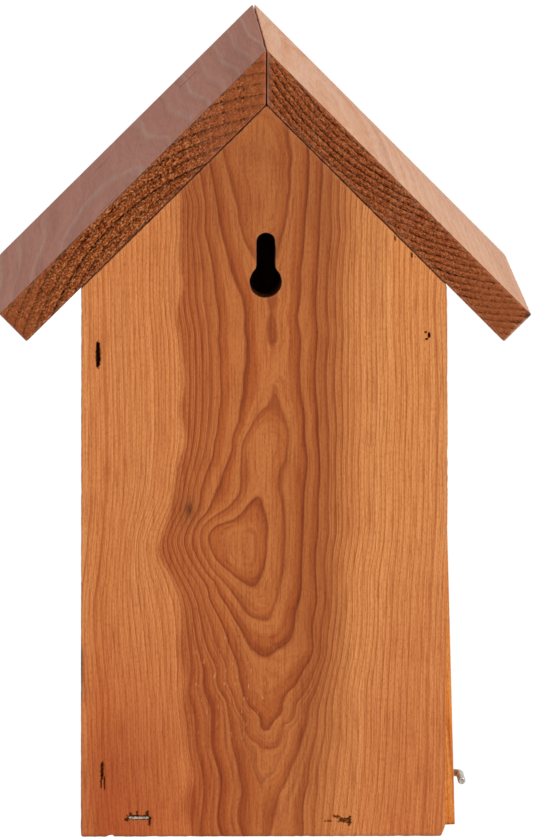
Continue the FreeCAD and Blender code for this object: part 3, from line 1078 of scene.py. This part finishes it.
# A brighter, more orange board for the door, whose edge shows from behind: partly its own colour, partly
# painted light
LIT_DOOR_PINE = WoodFinish("lit_orange_door_pine", ("#fbb35c", "#f7a548", "#e58e3a"))
# The fixed side's pine with its grain running from front to back
FLOOR_PINE = WoodFinish(
    "oiled_floor_pine", SIDE_PINE.heart, stretch=(1.0, 0.05, 1.0), pore_stretch=(1.0, 0.25, 1.0),
)
# Mauve-brown roof board, its grey cast and darkness partly painted shade and sheen, its pale growth lines
# painted sheen, with fuzzy orange sawn ends
SHADE_SHEEN_ROOF_PINE = WoodFinish(
    "shade_sheen_roof_pine", ("#cb8872", "#c17e67", "#d19e8c"),
    end_light="#8b431f", end_dark="#3b180a", end_fleck="#bd7f4e", worn="#a87a62",
    stretch=(1.0, 0.05, 1.0), pore_stretch=(1.0, 0.35, 1.0), grain=0.3, half_lines=0.0, sway=0.06,
    end_grit=1.6, end_lines=0.75, end_band=0.6, end_run=(0.707, 0.0, -0.707),
)
# Pale pinkish roof board, paler than its twin partly as painted light from the lamp's side, with dark,
# streaky sawn ends
LIT_ROOF_PINE = WoodFinish(
    "lit_roof_pine", ("#e4b495", "#e2b08d", "#dca37c"),
    end_light="#8f4624", end_dark="#5c2a14", end_fleck="#ae7045", worn="#c9906c",
    stretch=(1.0, 0.05, 1.0), pore_stretch=(1.0, 0.35, 1.0), grain=0.3, half_lines=0.0, sway=0.22,
    end_grit=1.8, end_lines=0.68, end_band=0.9, end_draw=0.5, end_run=(-0.707, 0.0, -0.707),
)
# Zinc plate on the hook: pale grey with soft glints and duller patches
ZINC = MetalFinish("dulled_zinc", "#d8d6d0", "#8f8c86", 0.38)
# Bare staple and nail wire: warm grey, glinting where it lies in the wood
STEEL = MetalFinish("staple_wire", "#b3a898", "#857868", 0.42)


def spot(world: Array, x: float, z: float, wide: float, tall: float) -> Array:
    """1 at a place on a gable panel, fading round it as a bell of that width and height."""
    return np.exp(-(((world[:, 0] - x) / wide) ** 2) - ((world[:, 2] - z) / tall) ** 2)


def level_hole(centre: tuple[float, float], radius: float, count: int) -> Array:
    """A round hole's loop, turning right: centre plus radius times cosine and sine of a falling angle."""
    angle = -np.linspace(0.0, 2.0 * math.pi, count, endpoint=False)
    return np.column_stack([centre[0] + radius * np.cos(angle), centre[1] + radius * np.sin(angle)])


# Back panel: middle in x and z, length, width and depth in millimetres, upright, seed, darkness, raggedness
BACK_WOUNDS = (
    Wound(69.2, 203.4, 10.6, 1.7, 1.7, True, 3, 1.0, 0.4),
    Wound(67.3, 28.2, 7.4, 1.3, 1.5, True, 5, 0.78, 0.9),
    Wound(67.7, 22.6, 4.6, 0.6, 0.8, True, 6, 0.8, 0.6),
    Wound(66.3, 22.6, 6.0, 0.6, 0.9, True, 8, 0.75, 0.6),
    Wound(52.0, 8.0, 9.4, 0.9, 1.3, False, 7, 0.9, 0.2),
    Wound(51.9, 8.2, 10.2, 2.0, 0.3, False, 12, 0.85, 0.7),
    Wound(55.4, 9.6, 1.8, 1.1, 0.6, True, 14, 0.75, 0.8),
    Wound(52.7, 10.0, 2.2, 0.9, 0.6, True, 32, 0.75, 0.8),
    Wound(48.5, 9.8, 2.4, 1.3, 0.6, True, 34, 0.8, 0.8),
    Wound(57.2, 7.1, 1.8, 1.2, 0.8, False, 16, 0.8, 0.8),
    Wound(47.5, 6.2, 3.0, 1.0, 0.8, True, 18, 0.78, 0.8),
    Wound(-34.0, 6.9, 5.2, 1.8, 0.9, False, 9, 0.72, 1.3),
    Wound(-35.8, 6.6, 3.8, 1.5, 0.9, True, 40, 0.75, 1.4),
    Wound(-30.6, 8.4, 3.0, 1.1, 0.7, False, 20, 0.7, 1.2),
    Wound(-27.2, 6.4, 3.2, 0.7, 0.5, False, 22, 0.65, 0.8),
    Wound(-53.4, 253.2, 4.8, 0.8, 0.7, True, 36, 0.78, 0.4),
    Wound(-60.3, 246.3, 5.0, 0.8, 0.7, True, 38, 0.78, 0.4),
    Wound(-61.7, 245.4, 2.6, 0.6, 0.5, True, 42, 0.7, 0.5),
    Wound(-67.7, 211.5, 2.3, 1.0, 0.7, True, 11, 1.0, 0.4),
    Wound(-66.3, 212.8, 1.1, 0.9, 0.5, False, 24, 0.9, 0.4),
    Wound(-66.7, 209.9, 1.4, 0.8, 0.5, False, 26, 0.9, 0.4),
)


@dataclass
class Gables:
    """The back panel with its keyhole and the front panel with its entrance."""

    keyhole_radius: float = 6.5
    slot_half: float = 3.75
    slot_rise: float = 16.5
    entrance_z: float = 180.0
    entrance_radius: float = 16.0
    roof_gap: float = 0.35
    slot_points: int = 19
    side_points: int = 14
    hole_points: int = 47
    entrance_points: int = 96
    smoothing: int = 3
    broken: tuple[float, float] = (1.6, 4.2)
    waned: float = 0.9
    shoulder_z: float = 150.0
    chip: Chip = Chip(63.8, 0.0, 1.7, 1.2)
    heart_area: tuple[float, float, float, float] = (-22.0, 28.0, 34.0, 292.0)

    def corners(self, node: str) -> tuple[Array, float]:
        """Five corners of a panel in x and z, turning left from the foot, and its thickness."""
        low, high = box_mm(node)
        eaves = high[2] - high[0] * math.tan(ROOF_PITCH) - self.roof_gap
        high[2] -= self.roof_gap
        points = [(low[0], low[2]), (high[0], low[2]), (high[0], eaves), (0.0, high[2]), (low[0], eaves)]
        return np.array(points), high[1] - low[1]

    def keyhole(self) -> Array:
        """The keyhole's loop, turning right: up the slot, over its end, down and round the hole; smoothed."""
        mount = next(m for m in frame["record"]["mounts"] if m["name"] == "keyhole")
        z = mount["pos_m"][2] / MM
        half_angle = math.asin(self.slot_half / self.keyhole_radius)
        end = np.linspace(math.pi, 0.0, self.slot_points)
        top = z + self.slot_rise
        slot_end = np.column_stack([self.slot_half * np.cos(end), top + self.slot_half * np.sin(end)])
        join = z + self.keyhole_radius * math.cos(half_angle)
        rise = np.linspace(join, top, self.side_points)[1:-1]
        sweep = np.linspace(math.pi / 2 - half_angle, -1.5 * math.pi + half_angle, self.hole_points)
        hole = np.column_stack([self.keyhole_radius * np.cos(sweep), z + self.keyhole_radius * np.sin(sweep)])
        left = np.column_stack([np.full(len(rise), -self.slot_half), rise])
        right = np.column_stack([np.full(len(rise), self.slot_half), rise[::-1]])
        loop = np.concatenate([left, slot_end, right, hole])
        for _ in range(self.smoothing):
            loop = 0.5 * loop + 0.25 * (np.roll(loop, 1, axis=0) + np.roll(loop, -1, axis=0))
        return loop

    def back(self) -> Board:
        """The back panel, with the growth rings that the photograph shows."""
        corners, thickness = self.corners("back_panel")
        low, high = box_mm("back_panel")
        broken = np.array([(low[0], self.broken[1]), (low[0] + self.broken[0], low[2])])
        waned = corners[4] + np.array([self.waned, self.waned * math.tan(ROOF_PITCH)])
        shoulder = np.array([low[0], self.shoulder_z])
        corners = np.concatenate([broken, corners[1:4], [waned, shoulder]])
        rings = TracedRings(BACK_FIGURE, PhotoPlane(), high[1], -1.0)

        def blush(world: Array) -> Array:
            """Redder wood towards the foot, most of all on the fixed side."""
            x, z = world[:, 0], world[:, 2]
            low = smooth_step(120.0, 10.0, z)
            fixed = smooth_step(0.0, 60.0, x) * (1.0 - 0.4 * smooth_step(66.0, 75.0, x))
            doorward = smooth_step(160.0, 30.0, z) * smooth_step(-30.0, -60.0, x)
            return 0.08 * low + 0.44 * low * fixed + 0.26 * doorward + 0.17 * smooth_step(-20.0, 60.0, x)

        def painted_shade_and_marks(world: Array) -> Array:
            """Painted shade at a joint and the foot, darker low at the fixed side and in the gable, a knot, a
            smudge.
            """
            x, z = world[:, 0], world[:, 2]
            along = np.abs(z - 69.0 + 1.5 * ripple(world, 4.0, 19))
            # Painted shade: the first share is the shadow in the open joint along the fixed side's edge, the
            # last the shadow under the foot's arris
            shares = (
                0.95 * smooth_step(75.4, 75.8, x) * smooth_step(16.0, 9.0, along),
                0.14 * smooth_step(64.0, 34.0, z + 0.25 * (x - 50.0)) * smooth_step(28.0, 52.0, x),
                0.22 * smooth_step(200.0, 290.0, z) * smooth_step(60.0, 20.0, np.abs(x)),
                0.6 * spot(world, 31.3, 138.6, 1.3, 2.8),
                0.22 * spot(world, 31.8, 138.0, 4.5, 8.0),
                0.12 * spot(world, 4.0, 288.5, 5.0, 4.5),
                0.45 * smooth_step(0.9, 0.1, z),
            )
            return np.clip(sum(shares), 0.0, 1.0)

        def paling(world: Array, ring: Array) -> Array:
            """Red heartwood turns to pale outer wood, quickly on the fixed side and slowly on the door's."""
            quick = smooth_step(8.2, 9.6, ring + 0.4 * ripple(world, 30.0, 17))
            slow = smooth_step(3.5, 11.0, ring)
            return np.where(world[:, 0] > 0.0, quick, slow)

        def rubbed(world: Array) -> Array:
            """Scuffs over the lower middle, strongest about a hand's breadth above the foot."""
            return spot(world, 14.0, 62.0, 22.0, 26.0)

        return Board(
            "back_panel", Slot.GABLES, GABLE_PINE, rings, high[1] * Y, np.stack([X, Z, -Y]), corners, corners,
            thickness, holes=[self.keyhole()], wounds=list(BACK_WOUNDS), chips=[self.chip], step=1.5,
            corner=0.3, ragged=0.08, seed=11, tone=blush, scuff=rubbed, shade=painted_shade_and_marks, sap=paling,
            # Painted shade on the keyhole's walls
            hole_shade=0.9, fine_area=self.heart_area,
        )

    def front(self) -> Board:
        """The front panel, cut from plain straight wood."""
        corners, thickness = self.corners("front_panel")
        low, _ = box_mm("front_panel")
        wounds = [Wound(68.0, z, 11.0, 2.4, 1.5, True, seed) for z, seed in ((204.0, 13), (26.0, 15))]
        wounds += [Wound(x, 8.0, 11.5, 2.8, 1.4, False, seed) for x, seed in ((52.0, 17), (-31.0, 19))]
        wounds.append(Wound(-67.2, 212.5, 3.8, 3.4, 0.9, True, 21, 0.6))
        rings = SawnRings((12.0, 30.0, 0.0), (0.02, 0.06, 1.0), 4.2, 1.6, 200.0, 23, 0.06)
        entrance = level_hole((0.0, self.entrance_z), self.entrance_radius, self.entrance_points)
        return Board(
            "front_panel", Slot.GABLES, GABLE_PINE, rings, low[1] * Y, np.stack([X, Z, Y]), corners, corners,
            thickness, holes=[entrance], wounds=wounds, seed=31,
        )

    def build(self) -> None:
        """Build both panels."""
        self.back().build()
        self.front().build()


@dataclass
class Sides:
    """The fixed side and the floor."""

    drain_radius: float = 3.0
    drain_points: int = 32
    pilot_radius: float = 1.6
    pilot_depth: float = 4.4
    drain_x: float = 32.0
    drain_y: tuple[float, float] = (-20.0, 48.0)

    def fixed(self) -> Board:
        """The fixed side, its top bevelled to the roof's slope."""
        low, high = box_mm("fixed_side_panel")
        thickness = high[0] - low[0]
        drop = thickness * math.tan(ROOF_PITCH)
        outer, inner = (rectangle(low[1], low[2], high[1], top) for top in (high[2] - drop, high[2]))
        wounds = [Wound(y, 8.0, 11.5, 2.6, 1.4, False, seed) for y, seed in ((-18.0, 41), (46.0, 43))]
        rings = SawnRings((140.0, 20.0, 0.0), (0.05, 0.015, 1.0), 3.6, 1.6, 180.0, 45, 0.06)
        return Board(
            "fixed_side_panel", Slot.SIDES, SIDE_PINE, rings, high[0] * X, np.stack([Y, Z, -X]), outer, inner,
            thickness, wounds=wounds, seed=47,
        )

    def floor(self) -> Board:
        """The floor board with its drain holes and the pilot hole for the hook's point."""
        low, high = box_mm("floor_panel")
        corners = rectangle(*low[:2], *high[:2])
        drains = [(x, y) for y in self.drain_y for x in (-self.drain_x, self.drain_x)]
        holes = [level_hole(place, self.drain_radius, self.drain_points) for place in drains]
        rings = SawnRings((20.0, 0.0, -40.0), (0.02, 1.0, 0.04), 4.0, 1.6, 160.0, 49, 0.06)
        return Board(
            "floor_panel", Slot.SIDES, FLOOR_PINE, rings, high[2] * Z, np.stack([X, Y, -Z]), corners, corners,
            high[2] - low[2], holes=holes, step=3.0, side_step=0.4, seed=51,
            dent=(HOOK_Y, high[2] - HOOK_Z, self.pilot_radius, self.pilot_depth),
        )

    def build(self) -> None:
        """Build the fixed side and the floor."""
        self.fixed().build()
        self.floor().build()


@dataclass
class Roof:
    """Two roof boards mitred at the ridge, their sawn ends flush with the back panel."""

    ridge_gap: float = 0.2
    staples: tuple[tuple[float, float], ...] = ((25.0, 82.0), (77.15, 82.0), (25.0, -54.0), (77.15, -54.0))
    nicks: tuple[Point, ...] = ((26.3, 2.2, 0.9), (33.4, 1.5, 0.5), (39.2, 1.5, 0.6))
    left_smooth: tuple[float, ...] = (52.0, 20.0, 112.0, 148.0)
    right_smooth: tuple[float, ...] = (2.0, 0.0, 92.0, 140.0)
    smoothness: float = 0.5
    end_skin: tuple[float, float] = (0.8, 0.5)
    knock: tuple[float, float] = (3.4, 1.6)
    left_rings: SawnRings = SawnRings((-18.0, 0.0, 174.0), (0.0, 1.0, 0.03), 4.4, 0.5, 150.0, 61, 0.15)
    right_rings: SawnRings = SawnRings((-122.0, 0.0, 394.0), (0.02, 1.0, 0.0), 2.6, 1.4, 150.0, 71, 0.1)

    def board(self, node: str, finish: WoodFinish, rings: Field, seed: int) -> Board:
        """One roof board: a runs down the slope from the ridge, b along the ridge, c into the board.

        Args:
            node: CAD node.
            finish: wood finish.
            rings: ring numbers.
            seed: seed of its wear.

        Returns:
            The board.
        """
        low, high = box_mm(node)
        side = 1.0 if high[0] + low[0] > 0.0 else -1.0
        reach = max(abs(low[0]), abs(high[0]))
        down = np.array([side * math.cos(ROOF_PITCH), 0.0, -math.sin(ROOF_PITCH)])
        into = np.array([-side * math.sin(ROOF_PITCH), 0.0, -math.cos(ROOF_PITCH)])
        ridge_z = high[2] + self.ridge_gap * math.tan(ROOF_PITCH)
        slope = reach / math.cos(ROOF_PITCH)
        eave_drop = ridge_z - slope * math.sin(ROOF_PITCH) - low[2]
        thickness = eave_drop / math.cos(ROOF_PITCH)
        start = self.ridge_gap / math.cos(ROOF_PITCH)
        mitre = thickness * math.tan(ROOF_PITCH)
        outer = rectangle(start, low[1], slope, high[1])
        inner = rectangle(start + mitre, low[1], slope, high[1])
        wounds = [
            Wound(mitre + along, y, 9.8, 1.9, 1.1, False, seed + 2 * number)
            for number, (along, y) in enumerate(self.staples)
        ]
        chips = [Chip(a, high[1], half, depth) for a, half, depth in self.nicks if side > 0.0]
        upper, ridge, lower, eave = self.left_smooth if side > 0.0 else self.right_smooth

        def sawn_smooth(world: Array) -> Array:
            """Where the saw left the ends smooth: towards the ridge and the eave, nothing on the faces."""
            run = np.abs(world[:, 0]) / math.cos(ROOF_PITCH)
            zone = np.maximum(smooth_step(upper, ridge, run), smooth_step(lower, eave, run))
            first, full = (high[1] - depth for depth in self.end_skin)
            return self.smoothness * zone * smooth_step(first, full, np.abs(world[:, 1]))

        def knocked(world: Array) -> Array:
            """A dark knock on the upper eave corner at the back, on the door's side only."""
            apart = np.linalg.norm(world - np.array([side * reach, high[1], ridge_z - reach]), axis=1)
            return (side < 0.0) * smooth_step(*self.knock, apart)

        return Board(
            node, Slot.ROOF, finish, rings, ridge_z * Z, np.stack([down, Y, into]), outer, inner, thickness,
            wounds=wounds, chips=chips, step=2.2, side_step=0.8, arris=0.7, ragged=0.22, saw_marks=0.35,
            seed=seed, tone=sawn_smooth, shade=knocked,
        )

    def build(self) -> None:
        """Build both roof boards; the box's +X board is on the photograph's left."""
        for node in ("left_roof_board", "right_roof_board"):
            low, high = box_mm(node)
            if high[0] + low[0] > 0.0:
                self.board(node, SHADE_SHEEN_ROOF_PINE, self.left_rings, 63).build()
            else:
                self.board(node, LIT_ROOF_PINE, self.right_rings, 73).build()


@dataclass
class Door:
    """The side door on its two pivot nails, stored ajar, and the screw hook in its foot."""

    wire_radius: float = 1.6
    bend_radius: float = 3.0
    arm_standoff: float = 5.8
    arm_length: float = 18.0
    end_rounding: float = 0.7
    reach_past_door: float = 3.2
    point_length: float = 6.0
    point_radius: float = 0.2
    thread_length: float = 16.0
    thread_depth: float = 0.3
    thread_pitch: float = 1.4
    thread_fade: float = 3.0
    least_radius: float = 0.05
    bore_clearance: float = 0.15
    bore_points: int = 28
    rings_along: int = 420
    rings_at_end: int = 9
    points_round: int = 32
    foot: float = 1.0
    top: float = 247.0
    ajar: float = 0.0
    pivot: Array = field(default_factory=lambda: np.zeros(3))

    def __post_init__(self) -> None:
        """Read the pivot and how far the stored door stands open."""
        joints = frame["record"]["behaviour"]["joints"]
        swing = next(joint for joint in joints if joint["name"] == "door_swing")
        self.pivot = np.array(swing["pos_m"]) / MM
        self.ajar = -math.radians(swing["range_deg"][0])

    def swing(self, places: Array) -> Array:
        """Turn closed-door places about the pivot to where the door is stored."""
        x, y, z = (places - self.pivot).T
        c, s = math.cos(self.ajar), math.sin(self.ajar)
        return self.pivot + np.column_stack([c * x + s * z, y, c * z - s * x])

    def board(self) -> Board:
        """The door's board, built closed and then swung ajar."""
        low, high = box_mm("side_door")
        wall_low, wall_high = box_mm("fixed_side_panel")
        thickness = wall_high[0] - wall_low[0]
        drop = thickness * math.tan(ROOF_PITCH)
        outer, inner = (rectangle(low[1], self.foot, high[1], top) for top in (self.top - drop, self.top))
        bore = level_hole((HOOK_Y, HOOK_Z), self.wire_radius + self.bore_clearance, self.bore_points)
        rings = SawnRings((-160.0, -10.0, 0.0), (0.05, 0.01, 1.0), 3.4, 1.6, 180.0, 81, 0.06)
        return Board(
            "side_door", Slot.SIDES, LIT_DOOR_PINE, rings, -wall_high[0] * X, np.stack([Y, Z, X]), outer, inner,
            thickness, body=Body.DOOR, holes=[bore], seed=83, after=self.swing,
        )

    def hook(self) -> bpy.types.Object:
        """The screw hook: a circle carried along a shank, a quarter bend and an arm.

        The circle shrinks to the point at one end and to a rounded rim at the other, and a helix is cut into
        the shank by lowering the radius with the cosine of distance along it less the angle round it.

        Returns:
            The hook's object.
        """
        wall_low, wall_high = box_mm("fixed_side_panel")
        tip_x = -wall_low[0] + self.reach_past_door
        arm_x = -wall_high[0] - self.arm_standoff
        shank = tip_x - (arm_x + self.bend_radius)
        bend = self.bend_radius * math.pi / 2.0
        arm = self.arm_length - self.bend_radius
        total = shank + bend + arm
        rounding = np.sin(np.linspace(0.0, math.pi / 2.0, self.rings_at_end))
        last = total - self.end_rounding * (1.0 - rounding)
        u = np.concatenate([np.linspace(0.0, total - self.end_rounding, self.rings_along)[:-1], last])
        v = np.linspace(0.0, 2.0 * math.pi, self.points_round, endpoint=False)
        angle = np.clip((u - shank) / self.bend_radius, 0.0, math.pi / 2.0)
        straight = np.minimum(u, shank)
        onward = np.maximum(u - shank - bend, 0.0)
        x = tip_x - straight - self.bend_radius * np.sin(angle)
        y = HOOK_Y + self.bend_radius * (1.0 - np.cos(angle)) + onward
        side = np.stack([np.sin(angle), np.cos(angle), np.zeros_like(u)], 1)
        growth = (self.wire_radius - self.point_radius) * u / self.point_length
        taper = np.minimum(self.wire_radius, self.point_radius + growth)
        from_end = np.clip(u - total + self.end_rounding, 0.0, self.end_rounding)
        radius = taper - self.end_rounding + np.sqrt(np.maximum(self.end_rounding**2 - from_end**2, 0.0))
        depth = self.thread_depth * smooth_step(self.thread_length, self.thread_length - self.thread_fade, u)
        helix = 0.5 + 0.5 * np.cos(2.0 * math.pi * u[:, None] / self.thread_pitch - v[None])
        wall = np.maximum(radius[:, None] - depth[:, None] * helix**2, self.least_radius)
        centre = np.stack([x, y, np.full_like(u, HOOK_Z)], 1)
        round_it = np.cos(v)[None, :, None] * side[:, None] + np.sin(v)[None, :, None] * Z
        places = (centre[:, None] + wall[..., None] * round_it).reshape(-1, 3)
        index = np.arange(len(u) * len(v)).reshape(len(u), len(v))
        p, q = index[:-1], index[1:]
        quads = np.stack([p, q, np.roll(q, -1, 1), np.roll(p, -1, 1)], -1).reshape(-1, 4)
        tip, rim = (np.full(len(v), len(places) + number) for number in (0, 1))
        ends = np.column_stack([tip, index[0], np.roll(index[0], -1)])
        caps = np.column_stack([rim, np.roll(index[-1], -1), index[-1]])
        places = np.concatenate([places, centre[:1], centre[-1:]])
        triangles = np.concatenate([halves(quads), ends, caps])
        piece = mesh_piece("screw_hook_wire", self.swing(places), triangles, {})
        piece.data.materials.append(ZINC.material())
        hand_over(piece, Body.HOOK, "screw_hook")
        return piece

    def build(self) -> None:
        """Build the door and its hook."""
        self.board().build()
        self.hook()


@dataclass
class Fasteners:
    """Staples and nails, whose CAD shapes stay and take the wire's finish."""

    words: tuple[str, ...] = ("staples", "nail")

    def build(self) -> None:
        """Dress every staple and nail."""
        steel = STEEL.material()
        for name, node in frame["nodes"].items():
            if any(word in name for word in self.words):
                node.data.materials.clear()
                node.data.materials.append(steel)


@dataclass(frozen=True)
class Lamp:
    """A square lamp, with its place and size in metres."""

    name: str
    place: Point
    size: float
    watts: float


@dataclass
class Stage:
    """Camera, lamps, surroundings and the pale floor under the box."""

    yaw: float = math.radians(1.855)
    pitch: float = math.radians(9.051)
    roll: float = math.radians(0.26)
    distance: float = 3.4
    focal_px: float = 8212.6
    picture_height_px: float = 840.0
    sensor: float = 36.0
    aim: Point = (-0.00101, 0.09, 0.17606)
    sight: float = 100.0
    lamps: tuple[Lamp, ...] = (
        Lamp("key_lamp", (-1.3, 1.7, 1.7), 0.7, 47.0),
        Lamp("fill_lamp", (1.6, 2.2, 0.8), 1.4, 10.0),
    )
    lamp_aim: Point = (0.0, 0.0, 0.16)
    world_level: float = 0.336
    floor_half_mm: float = 6000.0
    floor_drop_mm: float = 0.05
    floor_share: float = 0.95
    floor_glow: float = 1.05

    def camera(self) -> None:
        """Aim a long lens at the back panel from a little above and to the photograph's left."""
        run = math.cos(self.pitch)
        forward = Vector((-math.sin(self.yaw) * run, -math.cos(self.yaw) * run, -math.sin(self.pitch)))
        level = Vector((-math.cos(self.yaw), math.sin(self.yaw), 0.0))
        upward = level.cross(forward)
        right = level * math.cos(self.roll) + upward * math.sin(self.roll)
        up = upward * math.cos(self.roll) - level * math.sin(self.roll)
        data = bpy.data.cameras.new("camera")
        data.sensor_fit = "AUTO"
        data.sensor_width = self.sensor
        data.lens = self.focal_px * self.sensor / self.picture_height_px
        data.clip_end = self.sight
        camera = bpy.data.objects.new("camera", data)
        turn = Matrix((right, up, -forward)).transposed()
        camera.matrix_world = Matrix.Translation(Vector(self.aim) - forward * self.distance) @ turn.to_4x4()
        bpy.context.scene.collection.objects.link(camera)
        bpy.context.scene.camera = camera

    def light(self, lamp: Lamp) -> None:
        """Hang a lamp and aim it at the middle of the box."""
        data = bpy.data.lights.new(lamp.name, "AREA")
        data.size = lamp.size
        data.energy = lamp.watts
        piece = bpy.data.objects.new(lamp.name, data)
        toward = Vector(self.lamp_aim) - Vector(lamp.place)
        turn = toward.to_track_quat("-Z", "Y").to_matrix().to_4x4()
        piece.matrix_world = Matrix.Translation(lamp.place) @ turn
        bpy.context.scene.collection.objects.link(piece)

    def surroundings(self) -> None:
        """White to the eye and in reflections, dimmer as a light."""
        sh = Shader(bpy.data.worlds.new("surroundings"))
        level = sh.add("MapRange", {"Value": self.in_sight(sh), "To Min": self.world_level, "To Max": 1.0})
        white = sh.add("Background", {"Color": linear("#ffffff"), "Strength": level})
        bpy.context.scene.world = sh.finish(white)

    def in_sight(self, sh: Shader) -> Socket:
        """1 for rays from the camera, off glossy surfaces and through clear ones, 0 for others."""
        kinds = ("Is Camera Ray", "Is Glossy Ray", "Is Transmission Ray")
        rays = [sh.add("LightPath", {}, kind) for kind in kinds]
        seen = sh.add("Math", {0: rays[0], 1: rays[1]}, operation="MAXIMUM")
        return sh.add("Math", {0: seen, 1: rays[2]}, operation="MAXIMUM")

    def floor(self) -> None:
        """A white floor that keeps a soft shadow of the box."""
        half = self.floor_half_mm
        corners = np.column_stack([rectangle(-half, -half, half, half), np.full(4, -self.floor_drop_mm)])
        piece = mesh_piece("stage_floor", corners, np.arange(4)[None], {})
        # Plain white to the eye, with a trace of the shadow that falls on its matt part
        sh = Shader(bpy.data.materials.new("white_floor"))
        share = sh.add("Math", {0: self.in_sight(sh), 1: self.floor_share}, operation="MULTIPLY")
        matt = sh.add("BsdfDiffuse", {"Color": linear("#f2f2f2")})
        glow = sh.add("Emission", {"Strength": self.floor_glow})
        piece.data.materials.append(sh.finish(sh.add("MixShader", {0: share, 1: matt, 2: glow})))

    def build(self) -> None:
        """Set up everything round the box."""
        self.camera()
        self.surroundings()
        self.floor()
        for lamp in self.lamps:
            self.light(lamp)
        bpy.context.scene.view_settings.view_transform = "Standard"


def main() -> None:
    """Build the box and its stage in order."""
    logging.basicConfig(level=logging.INFO, format="%(message)s")
    for part in (Gables(), Sides(), Roof(), Door(), Fasteners(), Stage()):
        part.build()
        LOG.info("%s done", type(part).__name__)


if __name__ == "__main__":
    main()
